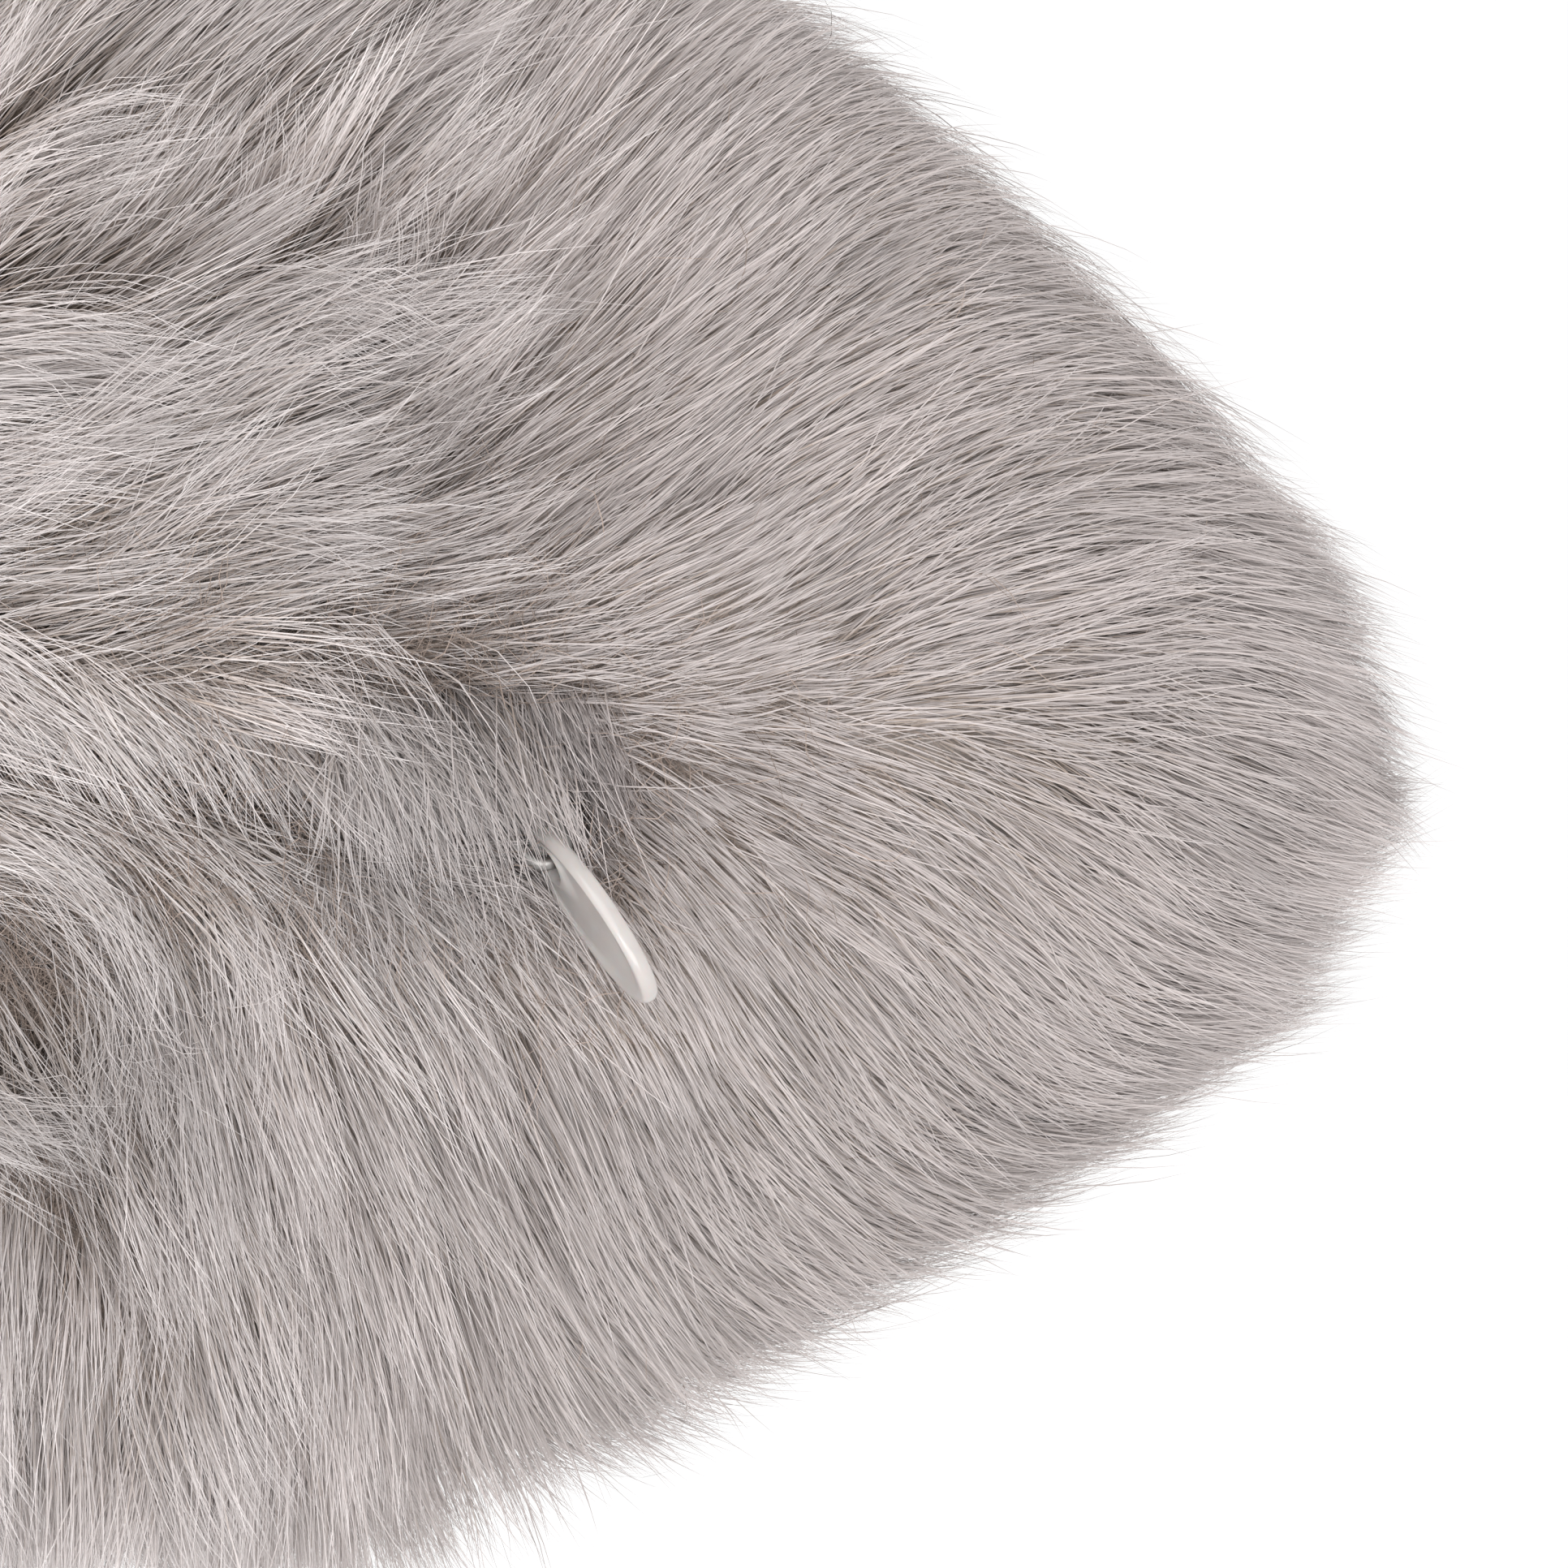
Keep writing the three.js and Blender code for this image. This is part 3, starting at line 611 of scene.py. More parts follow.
def make_seam_hairs():
    """Hair along both edges of the zip. It stands up and falls across the zip, to hide it."""
    upper = rng.random(SEAM_LOCKS) < 0.72
    x = rng.uniform(ZIP_REAR - 2, SLIDER_FRONT + 3, SEAM_LOCKS)
    by_slider = rng.random(SEAM_LOCKS) < 0.5
    x = np.where(by_slider, rng.uniform(SLIDER_X - 12, SLIDER_FRONT + 3, SEAM_LOCKS), x)
    parted_by = (TEETH_OUTER + 0.4) * smooth(x, SLIDER_FRONT + 3, SLIDER_FRONT)
    z = parted_by + SEAM_BAND * rng.random(SEAM_LOCKS) ** 1.4
    z = np.where(upper, z, -z)
    arc = skin.arc_at(x)
    radius = np.interp(arc, skin.arc, skin.r) + ROOTS
    root = skin.at(arc, np.arcsin(z / radius), ROOTS)[0]
    rise = rng.uniform(7.5, 10.5, SEAM_LOCKS)
    rise = rise + np.where(by_slider & upper, rng.uniform(2, 8, SEAM_LOCKS), 0)
    across = -rng.uniform(np.where(upper, 5, 2), np.where(upper, 12, 8))
    onward = rng.normal(np.where(by_slider, 6, 8.5), 2.5)
    over_pull = by_slider & upper & (x > SLIDER_X - 2)
    across = np.where(over_pull, across - 3, across)
    onward = np.where(over_pull, onward + 2, onward)
    rise = rise - 2.2 * hump(x - VALLEY[0], 9) * ~by_slider
    t = ALONG_HAIR[None]
    up = rise[:, None] * np.sin(t * 2.0)
    lock = root[:, None] + np.zeros((1, HAIR_STEPS + 1, 1))
    lock[..., 0] += onward[:, None] * t**1.5
    lock[..., 1] -= up
    lock[..., 2] += across[:, None] * t**1.6
    index = np.repeat(np.arange(SEAM_LOCKS), SEAM_HAIRS_A_LOCK)
    count = len(index)
    curve = lock[index] + rng.normal(size=(count, 1, 3)) * [0.9, 0.2, 0.7]
    unruly = 1 + 1.8 * hump(x[index] - VALLEY[0], 11)
    stray = rng.normal(size=(count, 3)) * [1.0, 0.7, 1.0] * unruly[:, None]
    curve = curve + stray[:, None] * t[..., None] ** 1.5
    normal = np.zeros((count, 3))
    normal[:, 1] = -1
    tone = (rng.normal(size=SEAM_LOCKS) * 0.5)[index] + rng.normal(size=count) * 0.5
    # Painted shade: seam hair is made darker round the hollow behind the pull.
    painted_shade = hump(curve[:, HAIR_STEPS // 2, 0] - VALLEY[0], 13)
    return curve, normal, tone - 3.2 * painted_shade


# ---- under-fur ----

UNDER_STEPS = 6
UNDER_HAIRS = 36000


def under_planting(x, theta):
    """Under-fur shows most along the zip and in the whorl."""
    z = CORE_RADIUS * theta
    along_zip = hump(z, 9) * smooth(x, 42, 50) * smooth(x, 190, 168)
    along_zip = along_zip * (0.35 + 0.65 * hump(x - VALLEY[0], 17))
    off = np.hypot(x - WHORL[0], z - CORE_RADIUS * math.asin(WHORL[2] / CORE_RADIUS))
    return np.clip(0.015 + along_zip + 1.5 * hump(off, 13), 0, 1)


def make_under_hairs():
    """Short curly hairs: each winds loosely round a guide curve of its own."""
    arc, theta = skin.scatter(UNDER_HAIRS, under_planting)
    curve, normal = grow(arc, theta, 70, 16, UNDER_STEPS, 0.42)
    count = len(curve)
    t = np.linspace(0, 1, UNDER_STEPS + 1)[None, :, None]
    u, v = sideways(curve, normal)
    phase = rng.uniform(0, 2 * math.pi, (count, 1, 1))
    wind = phase + t * rng.uniform(4, 10, (count, 1, 1))
    size = rng.uniform(0.5, 1.9, (count, 1, 1)) * t**0.6
    curl = u[:, None] * np.cos(wind) + v[:, None] * np.sin(wind)
    start = u[:, None] * np.cos(phase) + v[:, None] * np.sin(phase)
    curve = curve + (curl - start) * size
    near = hump(curve[:, 0, 2], 8) * (curve[:, 0, 1] < 0)
    near = near * (4.0 + 3.5 * hump(curve[:, 0, 0] - VALLEY[0], 13))
    curve[..., 1] -= near[:, None] * np.linspace(0, 1, UNDER_STEPS + 1)[None]
    return curve, normal, rng.normal(size=count)


# ---- strands as geometry ----


def strand_mesh(name, curve, normal, tone, width, bank, banks):
    """Flat tapered ribbons along the curves. Each of the banks has a row of materials for each
    tone, dark to light, and a row goes from the root to the tip."""
    count, rings = curve.shape[:2]
    tangent = normalised(np.gradient(curve, axis=1))
    across = normalised(np.cross(tangent, normal[:, None]))
    twist = rng.normal(size=count)[:, None, None] * 0.4
    out = np.cross(across, tangent)
    across = across * np.cos(twist) + out * np.sin(twist)
    t = np.linspace(0, 1, rings)[:-1]
    taper = np.interp(t, [0, 0.25, 0.6, 0.85, 1], [0.8, 1, 0.9, 0.5, 0.2])[None, :, None]
    half = across[:, :-1] * taper * (width / 2)[:, None, None]
    left, right = curve[:, :-1] - half, curve[:, :-1] + half
    body = np.stack([left, right], 2).reshape(count, (rings - 1) * 2, 3)
    points = np.concatenate([body, curve[:, -1:]], 1)
    quads = rings - 2
    quad = np.array([[2 * i, 2 * i + 1, 2 * i + 3, 2 * i + 2] for i in range(quads)])
    tip = np.array([2 * quads, 2 * quads + 1, 2 * quads + 2])
    loops = np.concatenate([quad.reshape(-1), tip])
    corners = ((np.arange(count) * points.shape[1])[:, None] + loops[None]).reshape(-1)
    sizes = np.tile(np.r_[np.full(quads, 4), 3], count)
    starts = np.r_[0, np.cumsum(sizes)[:-1]]
    tones, parts = len(banks[0]), len(banks[0][0])
    level = np.clip(np.round(tone + (tones - 1) / 2), 0, tones - 1) + tones * bank
    stretch = np.minimum(np.arange(quads + 1), parts - 1)
    finish = level.astype(int)[:, None] * parts + stretch[None]
    mesh = bpy.data.meshes.new(name)
    mesh.vertices.add(points.shape[0] * points.shape[1])
    mesh.vertices.foreach_set("co", (points * MM).astype(np.float32).reshape(-1))
    mesh.loops.add(len(corners))
    mesh.loops.foreach_set("vertex_index", corners.astype(np.int32))
    mesh.polygons.add(len(sizes))
    mesh.polygons.foreach_set("loop_start", starts.astype(np.int32))
    mesh.polygons.foreach_set("loop_total", sizes.astype(np.int32))
    mesh.polygons.foreach_set("material_index", finish.reshape(-1).astype(np.int32))
    mesh.polygons.foreach_set("use_smooth", np.ones(len(sizes), bool))
    for material in (m for rows in banks for row in rows for m in row):
        mesh.materials.append(material)
    return placed(mesh)


# ---- materials ----


def plain(name, colour, roughness, **sockets):
    """A Principled material with plain values. Socket names are given with _ for a space."""
    material = bpy.data.materials.new(name)
    material.use_nodes = True
    shader = material.node_tree.nodes["Principled BSDF"]
    shader.inputs["Base Color"].default_value = (*colour, 1)
    shader.inputs["Roughness"].default_value = roughness
    for socket, value in sockets.items():
        shader.inputs[socket.replace("_", " ")].default_value = value
    return material


class Texture:
    """Adds procedural colour, roughness and bump to a plain material, in object space."""

    def __init__(self, material):
        self.tree = material.node_tree
        self.shader = self.tree.nodes["Principled BSDF"]
        self.place = self.tree.nodes.new("ShaderNodeTexCoord").outputs["Object"]
        self.normal = None

    def link(self, start, end):
        self.tree.links.new(start, end)

    def noise(self, size, detail=4, kind="ShaderNodeTexNoise"):
        """A noise or Voronoi pattern with features of about size millimetres."""
        node = self.tree.nodes.new(kind)
        self.link(self.place, node.inputs["Vector"])
        node.inputs["Scale"].default_value = 1 / (size * MM)
        if "Detail" in node.inputs:
            node.inputs["Detail"].default_value = detail
        return node.outputs["Fac" if "Fac" in node.outputs else "Distance"]

    def bands(self, pitch, direction, distortion=0.0):
        """Even bands at a pitch in millimetres, across the X, Y or Z direction."""
        node = self.tree.nodes.new("ShaderNodeTexWave")
        node.bands_direction = direction
        self.link(self.place, node.inputs["Vector"])
        node.inputs["Scale"].default_value = 0.314 / (pitch * MM)
        node.inputs["Distortion"].default_value = distortion
        return node.outputs["Fac"]

    def mixed(self, first, second, how="MULTIPLY"):
        node = self.tree.nodes.new("ShaderNodeMath")
        node.operation = how
        self.link(first, node.inputs[0])
        self.link(second, node.inputs[1])
        return node.outputs[0]

    def colour(self, source, dark, light, low=0.3, high=0.7):
        ramp = self.tree.nodes.new("ShaderNodeValToRGB")
        ramp.color_ramp.elements[0].position = low
        ramp.color_ramp.elements[0].color = (*dark, 1)
        ramp.color_ramp.elements[1].position = high
        ramp.color_ramp.elements[1].color = (*light, 1)
        self.link(source, ramp.inputs["Fac"])
        self.link(ramp.outputs["Color"], self.shader.inputs["Base Color"])

    def roughness(self, source, low, high):
        span = self.tree.nodes.new("ShaderNodeMapRange")
        span.inputs["To Min"].default_value = low
        span.inputs["To Max"].default_value = high
        self.link(source, span.inputs["Value"])
        self.link(span.outputs["Result"], self.shader.inputs["Roughness"])

    def bump(self, source, depth, strength=0.6):
        """Relief of a depth in millimetres, on top of any relief added before."""
        node = self.tree.nodes.new("ShaderNodeBump")
        node.inputs["Strength"].default_value = strength
        node.inputs["Distance"].default_value = depth * MM
        self.link(source, node.inputs["Height"])
        if self.normal:
            self.link(self.normal, node.inputs["Normal"])
        self.normal = node.outputs["Normal"]
        self.link(self.normal, self.shader.inputs["Normal"])


# Colours from the hair's root to its tip: the even nose half, and the tufts with pale tips.
EVEN_FUR = np.array(
    [[0.42, 0.35, 0.305], [0.51, 0.447, 0.418]]
    + [[0.535, 0.48, 0.465]] * 2
    + [[0.58, 0.53, 0.52]]
)
TUFTED_FUR = np.array(
    [[0.38, 0.295, 0.24], [0.47, 0.39, 0.34], [0.54, 0.475, 0.445]]
    + [[0.63, 0.575, 0.56], [0.72, 0.67, 0.66]]
)
DARKEST_TONE, TONE_RANGE = 0.63, 0.5
UNDER_FUR = np.array([0.27, 0.215, 0.185])
UNDER_SHADES = (0.75, 1.05, 1.4)


def strand_look(name, colour):
    return plain(name, colour, 0.7, Specular_IOR_Level=0.2)


def fur_tones(name, colours):
    """Rows of tones, dark to light. Each row goes from the hair's root to its tip."""
    shades = [DARKEST_TONE + TONE_RANGE * i / (TONES - 1) for i in range(TONES)]
    return [
        [strand_look(f"{name}_tone{i}_part{j}", c * shade) for j, c in enumerate(colours, 1)]
        for i, shade in enumerate(shades, 1)
    ]


def under_tones():
    return [
        [strand_look(f"underfur_tone{i}", UNDER_FUR * s)] for i, s in enumerate(UNDER_SHADES, 1)
    ]


def knit(name, dark, light, loop):
    """A fine knitted or spacer fabric with loops of the given size."""
    material = plain(name, light, 0.85, Sheen_Weight=0.3)
    look = Texture(material)
    loops = look.noise(loop, 2, "ShaderNodeTexVoronoi")
    look.colour(loops, light, dark, 0.15, 0.75)
    look.roughness(look.noise(4), 0.75, 0.95)
    look.bump(look.noise(6), 0.25)
    look.bump(loops, -0.2)
    return material


def woven(name, dark, light, pitch):
    """A twill tape, woven along X and Z."""
    material = plain(name, light, 0.8, Sheen_Weight=0.2)
    look = Texture(material)
    weave = look.mixed(look.bands(pitch, "X", 0.6), look.bands(pitch * 1.3, "Z", 0.6))
    look.colour(weave, dark, light, 0.1, 0.8)
    look.roughness(look.noise(3), 0.7, 0.9)
    look.bump(weave, 0.12)
    return material


def open_cell_foam():
    material = plain("open_cell_foam", (0.05, 0.048, 0.046), 0.95)
    look = Texture(material)
    cells = look.noise(1.1, 2, "ShaderNodeTexVoronoi")
    # Painted shade: the cells' hollows are coloured darker than their walls, standing in for the
    # shade in the pores.
    wall, hollow = (0.09, 0.086, 0.083), (0.022, 0.021, 0.02)
    look.colour(look.mixed(cells, look.noise(5)), wall, hollow, 0.1, 0.5)
    look.roughness(look.noise(3), 0.88, 1.0)
    look.bump(cells, -0.5, 0.9)
    return material


def moulded(name, dark, light, rough, grain):
    """A moulded plastic or rubber with a fine grain and faint broad mottling."""
    material = plain(name, light, rough)
    look = Texture(material)
    look.colour(look.noise(9, 6), dark, light)
    look.roughness(look.noise(2.5), rough - 0.08, rough + 0.1)
    look.bump(look.noise(grain, 3), 0.05)
    return material


def cast_metal():
    material = plain("cast_zinc", (0.30, 0.29, 0.28), 0.4, Metallic=1.0)
    look = Texture(material)
    look.colour(look.noise(2.2, 6), (0.25, 0.24, 0.23), (0.36, 0.35, 0.34))
    look.roughness(look.noise(0.9, 5), 0.3, 0.55)
    look.bump(look.noise(0.35, 3), 0.02)
    return material


def tab_plastic():
    """Glossy pale plastic that lets a little light in."""
    gloss = {"Coat_Weight": 0.25, "Coat_Roughness": 0.08}
    milky = {"Subsurface_Weight": 0.25, "Subsurface_Scale": 0.002}
    material = plain("glossy_tab_plastic", (0.44, 0.42, 0.405), 0.25, **gloss, **milky)
    look = Texture(material)
    look.colour(look.noise(5, 3), (0.41, 0.39, 0.375), (0.48, 0.455, 0.44))
    look.roughness(look.noise(1.5), 0.1, 0.26)
    look.bump(look.noise(3.5, 2), 0.05, 0.35)
    return material


def monofilament():
    material = plain("nylon_monofilament", (0.27, 0.24, 0.22), 0.45)
    look = Texture(material)
    look.colour(look.noise(1.5), (0.23, 0.205, 0.19), (0.31, 0.28, 0.26))
    look.roughness(look.noise(0.8), 0.3, 0.5)
    look.bump(look.noise(0.3), 0.02)
    return material


# ---- fabric and foam ----

SEAM_GAP = 0.15  # from a panel's edge to the seam's plane
BACKING_GAP = TEETH_OUTER + 0.5  # the same beside the teeth, for the fur's backing
LINING_POINTS = (90, 70)  # along and round each panel
BACKING_POINTS = (150, 90)


def theta_edge(r, edge):
    """The angle at which a panel ends, a distance above or below the seam's plane."""
    return np.arcsin(np.clip(edge / np.maximum(r, 0.6), 0, 0.7))


def skin_piece(name, stations, angles, heights, material, slot):
    """A closed piece of cloth on the skin. angles(x, radius) gives the angles of a row."""
    outer, inner = [], []
    for a in skin.arc_at(stations):
        radius = np.interp(a, skin.arc, skin.r) + heights[1]
        theta = angles(np.interp(a, skin.arc, skin.x), radius)
        row = np.full(len(theta), a)
        outer.append(skin.at(row, theta, heights[1])[0])
        inner.append(skin.at(row, theta, heights[0])[0])
    return closed_shell(name, np.array(outer), np.array(inner), material)


def make_panel(name, node, side, heights, points, zip_gap, look, rests_on, pile=()):
    """Half of a cover, cut as one flat shape, half the girth wide and as long as the outline. Its
    edges meet the other half's, but along the zip they stop at zip_gap from the seam's plane."""
    rows, columns = points
    along = np.sin(np.linspace(0, math.pi / 2, rows))  # closing up towards the tip
    stations = skin.x[0] + (skin.x[-1] - skin.x[0]) * along

    def angles(x, radius):
        by_zip = smooth(x, ZIP_REAR - 4, ZIP_REAR + 1) * smooth(x, SLIDER_FRONT + 3, SLIDER_FRONT)
        start = theta_edge(radius, SEAM_GAP + (zip_gap - SEAM_GAP) * by_zip)
        return side * np.linspace(start, math.pi - theta_edge(radius, SEAM_GAP), columns)

    piece = skin_piece(name, stations, angles, heights, *look)
    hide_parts(node)


def make_linings(material):
    look = (material, "lining")
    foam = ["foam_core_body", "foam_core_nose"]
    for half, side in HALVES:
        names = (f"lining_cloth_{half}", f"lining_{half}")
        make_panel(*names, side, LINING, LINING_POINTS, SEAM_GAP, look, foam)


def make_backings(material, pile):
    look = (material, "fur")
    for half, side in HALVES:
        names = (f"fur_backing_{half}", f"fur_panel_{half}")
        under = [f"lining_cloth_{half}"]
        shape = (BACKING, BACKING_POINTS, BACKING_GAP)
        make_panel(*names, side, *shape, look, under, pile[half])


def make_binding(material):
    """The strip over the sewn seam on the far side."""
    stations = np.linspace(SHOULDER_END, NOSE_SPLIT, 60)

    def angles(x, radius):
        half_angle = math.asin(BINDING_HALF / radius)
        return math.pi + np.linspace(-half_angle, half_angle, 14)

    piece = skin_piece("seam_binding_tape", stations, angles, BINDING, material, "webbing")
    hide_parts("seam_binding")


def flat_strip(name, node, edges, ripple, material):
    """A strip of tape or cloth along the zip, with a slight ripple in its height."""
    low, high = heights_mm(node)
    x = np.linspace(ZIP_REAR, ZIP_FRONT, 160)
    grid_x, grid_z = np.meshgrid(x, np.linspace(*edges, 9), indexing="ij")
    wave = ripple * np.sin(grid_x * 0.21) * np.sin(grid_x * 0.083 + grid_z * 0.2)
    outer = np.stack([grid_x, -high - wave * 0.5, grid_z], -1)
    inner = np.stack([grid_x, -low - wave * 0.5, grid_z], -1)
    piece = closed_shell(name, outer, inner, material)
    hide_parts(node)
    return piece


def make_zip_cloth(material):
    edges = (-GUARD_HALF, GUARD_HALF)
    guard = flat_strip("zip_guard_cloth", "zip_guard_strip", edges, 0.15, material)
    for half, side in HALVES:
        edges = sorted((side * TAPE_INNER, side * TAPE_OUTER))
        tape = flat_strip(f"zip_tape_cloth_{half}", f"zip_tape_{half}", edges, 0.1, material)


PLEATS = 46
PLEAT_DEPTH = 0.55
HEM_WALL = 0.7
HEM_INNER = 25.0
STITCHES = 60
STITCH_CIRCLE = 29.3
STITCH_HALF_ANGLE = 0.032
BAND_INNER = 25.4
BAND_RIBS = 120


def pleated(x, r, theta):
    """Gathers round the hem, deepest at its outer edge."""
    share = smooth(r, HEM_INNER, HEM_OUTER)
    wave = np.sin(PLEATS * theta + 0.6 * np.sin(5 * theta)) + 0.4 * np.sin(29 * theta + 1)
    fold = PLEAT_DEPTH * wave * share
    middle = (HEM_REAR + HEM_FRONT) / 2
    pulled = x + (x - middle) * 0.05 * wave * share
    return pulled, r - PLEAT_DEPTH * share + fold * 0.7


def ribbed_band(x, r, theta):
    """Fine ribs along the elastic."""
    return x, r + 0.08 * np.sin(BAND_RIBS * theta)


def rectangle(low_x, high_x, low_r, high_r):
    """The section of a ring, from the inner rear corner."""
    return [[low_x, low_r], [low_x, high_r], [high_x, high_r], [high_x, low_r]]


def make_hem(cloth, rubber, thread):
    outline = rectangle(HEM_REAR, HEM_FRONT, HEM_INNER, HEM_OUTER)
    inside = rectangle(HEM_REAR + HEM_WALL, HEM_FRONT - HEM_WALL, HEM_INNER, HEM_OUTER - HEM_WALL)
    outline = softened(outline + inside[::-1], 1.2, 4)
    piece = turned("gathered_hem", outline, cloth, 552, pleated)
    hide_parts("hem_channel")
    stitches = []
    for i in range(STITCHES):
        middle = 2 * math.pi * i / STITCHES
        theta = middle + np.linspace(-STITCH_HALF_ANGLE, STITCH_HALF_ANGLE, 7)
        lift = 0.35 * np.cos(np.linspace(-math.pi / 2, math.pi / 2, 7))
        r = STITCH_CIRCLE + 0.1 * np.sin(theta * 23)
        stitches.append(np.stack([HEM_REAR - lift, -r * np.cos(theta), r * np.sin(theta)], -1))
    sewn = wires("hem_stitching", stitches, 0.17, thread, "webbing", 6)
    (rear, _, _), (front, _, outer) = box_mm("hem_elastic")
    band = softened(rectangle(rear, front, BAND_INNER, outer), 0.5)
    elastic = turned("hem_elastic_band", band, rubber, 480, ribbed_band)
    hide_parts("hem_elastic")


FOAM_BORE = 14.0
FOAM_BORE_END = 163.0
COUNTERBORE = (27.3, 31.6, 27.5)  # from, to and radius
SPIGOT_HOLE = 17.3
FOAM_GAP = 0.3


def make_foam(material):
    """The core in two blocks, each with the slight unevenness of cut foam."""
    x, r = skin.x[1:], skin.r[1:]
    split_radius = float(np.interp(NOSE_SPLIT, x, r))
    body = [[a, b] for a, b in zip(x[::6], r[::6]) if a < NOSE_SPLIT - 0.5]
    body += [[NOSE_SPLIT, split_radius], [NOSE_SPLIT, 0], [FOAM_BORE_END, 0]]
    body += [[FOAM_BORE_END, FOAM_BORE], [COUNTERBORE[1], FOAM_BORE]]
    body += [[COUNTERBORE[1], COUNTERBORE[2]], [COUNTERBORE[0], COUNTERBORE[2]]]
    body += [[COUNTERBORE[0], SPIGOT_HOLE], [x[0], SPIGOT_HOLE]]
    piece = turned("foam_core_body", np.array(body), material, 120, uneven)
    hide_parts("foam_body")
    front = NOSE_SPLIT + FOAM_GAP
    nose = [[front, 0], [front, float(np.interp(front, x, r))]]
    nose += [[a, b] for a, b in zip(x[::6], r[::6]) if a > front + 0.5] + [[x[-1], 0]]
    piece = turned("foam_core_nose", np.array(nose), material, 120, uneven)
    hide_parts("foam_nose")


def uneven(x, r, theta):
    wave = np.sin(5 * theta + x * 0.11) * np.sin(3 * theta - x * 0.07)
    return x, r - 0.12 * (1 + wave) * smooth(r, 16, 30)


# ---- collar and grip ----

COLLAR_LIP, COLLAR_LIP_RADIUS = 5.0, 26.0
GROOVE_END, GROOVE_RADIUS = 12.0, 24.4
FLANGE_END, FLANGE_RADIUS = 15.0, 30.0
SPIGOT_END, SPIGOT_RADIUS = 31.0, 17.0
COLLAR_BORE = 14.5
GRIP_SEAT, GRIP_SEAT_RADIUS = 2.1, 17.8
COLLAR_RIBS = 60


def ribbed_lip(x, r, theta):
    """Fine finger ribs round the collar's lip."""
    on_rim = smooth(r, COLLAR_LIP_RADIUS - 0.4, COLLAR_LIP_RADIUS - 0.1)
    on_rim = on_rim * smooth(x, COLLAR_LIP, COLLAR_LIP - 0.8) * smooth(x, 0, 0.8)
    rib = np.clip(0.5 + 1.4 * np.cos(COLLAR_RIBS * theta), 0, 1)
    return x, r - 0.4 * on_rim * (1 - rib)


def make_collar(material):
    outline = [[GRIP_SEAT, COLLAR_BORE], [GRIP_SEAT, GRIP_SEAT_RADIUS], [0, GRIP_SEAT_RADIUS]]
    outline += [[x, COLLAR_LIP_RADIUS] for x in (0, 1.6, 3.4, COLLAR_LIP)]
    outline += [[COLLAR_LIP, GROOVE_RADIUS], [GROOVE_END, GROOVE_RADIUS]]
    outline += [[GROOVE_END, FLANGE_RADIUS], [FLANGE_END, FLANGE_RADIUS]]
    outline += [[FLANGE_END, SPIGOT_RADIUS], [SPIGOT_END, SPIGOT_RADIUS]]
    outline = softened(outline + [[SPIGOT_END, COLLAR_BORE]], 0.8, 4)
    piece = turned("moulded_collar", outline, material, 720, ribbed_lip)
    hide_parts("rear_collar")


GRIP_BORE, GRIP_RIB, GRIP_OUTER, GRIP_LIP_RADIUS = 10.6, 10.1, 14.2, 17.5
GRIP_RIBS = (6, 15, 24)
RIB_REACH = 1.6


def make_grip(material):
    rear, front = box_mm("mic_grip")[0][0], box_mm("mic_grip")[1][0]
    lip_front = rear + 1.5
    outline = [[rear, GRIP_BORE + 0.6], [rear + 0.6, GRIP_BORE]]
    for x in GRIP_RIBS:
        turn = np.linspace(0, math.pi, 9)
        outline += [
            [x - RIB_REACH * math.cos(t), GRIP_BORE - (GRIP_BORE - GRIP_RIB) * math.sin(t)]
            for t in turn
        ]
    outline += [[front, GRIP_BORE], [front, GRIP_OUTER], [lip_front, GRIP_OUTER]]
    outline += [[lip_front, GRIP_LIP_RADIUS], [rear, GRIP_LIP_RADIUS]]
    piece = turned("rubber_grip", softened(outline, 0.5, 2), material, 120)
    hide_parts("mic_grip")


# ---- zip and pull ----

COIL_PITCH = 1.3
COIL_WIRE = 0.32
COIL_TURN_POINTS = 12


def make_coils(material):
    """Each side of the zip is a nylon coil, and the two mesh half a pitch apart."""
    turns = int((TEETH_FRONT - TEETH_REAR - 2 * COIL_WIRE) / COIL_PITCH)
    t = np.linspace(0, turns, turns * COIL_TURN_POINTS + 1)
    angle = 2 * math.pi * t
    middle = (TEETH_LOW + TEETH_TOP) / 2
    half_height = (TEETH_TOP - TEETH_LOW) / 2 - COIL_WIRE
    inner, outer = TAPE_INNER + COIL_WIRE, TEETH_OUTER - COIL_WIRE
    for half, side in HALVES:
        x = TEETH_REAR + COIL_WIRE + COIL_PITCH * (t + (0.0 if side > 0 else 0.25))
        z = side * ((inner + outer) / 2 - (outer - inner) / 2 * np.cos(angle))
        y = -middle - half_height * np.sin(angle)
        path = np.stack([np.minimum(x, TEETH_FRONT - COIL_WIRE), y, z], -1)
        piece = wires(f"zip_coil_{half}", [path], COIL_WIRE, material, "monofilament", 6)
        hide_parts(f"zip_teeth_{half}")


LEG = np.array(joints["link_swivel"]["pos_m"]) / MM
HOLE = np.array(joints["tab_swing"]["pos_m"]) / MM
TAB_NORMAL = normalised(np.array(joints["tab_swing"]["axis"]))
TAB_ALONG = normalised(HOLE - LEG)
TAB_ACROSS = np.cross(TAB_NORMAL, TAB_ALONG)
TAB_LENGTH, TAB_WIDTH, TAB_THICKNESS = 16.2, 8.0, 1.4
TAB_ROOT = 3.0  # from the tab's end to the middle of its hole
TAB_HOLE = 1.3
TAB_EDGE = 0.55  # radius of its rounded edges
TAB_DISH = 0.3  # how deep its faces are dished
TAB_POINTS = 128  # round its outline
TAB_CENTRE = HOLE + TAB_ALONG * (TAB_LENGTH / 2 - TAB_ROOT)
TAB_BURIED = 3.4  # of the tab's root, under the hair
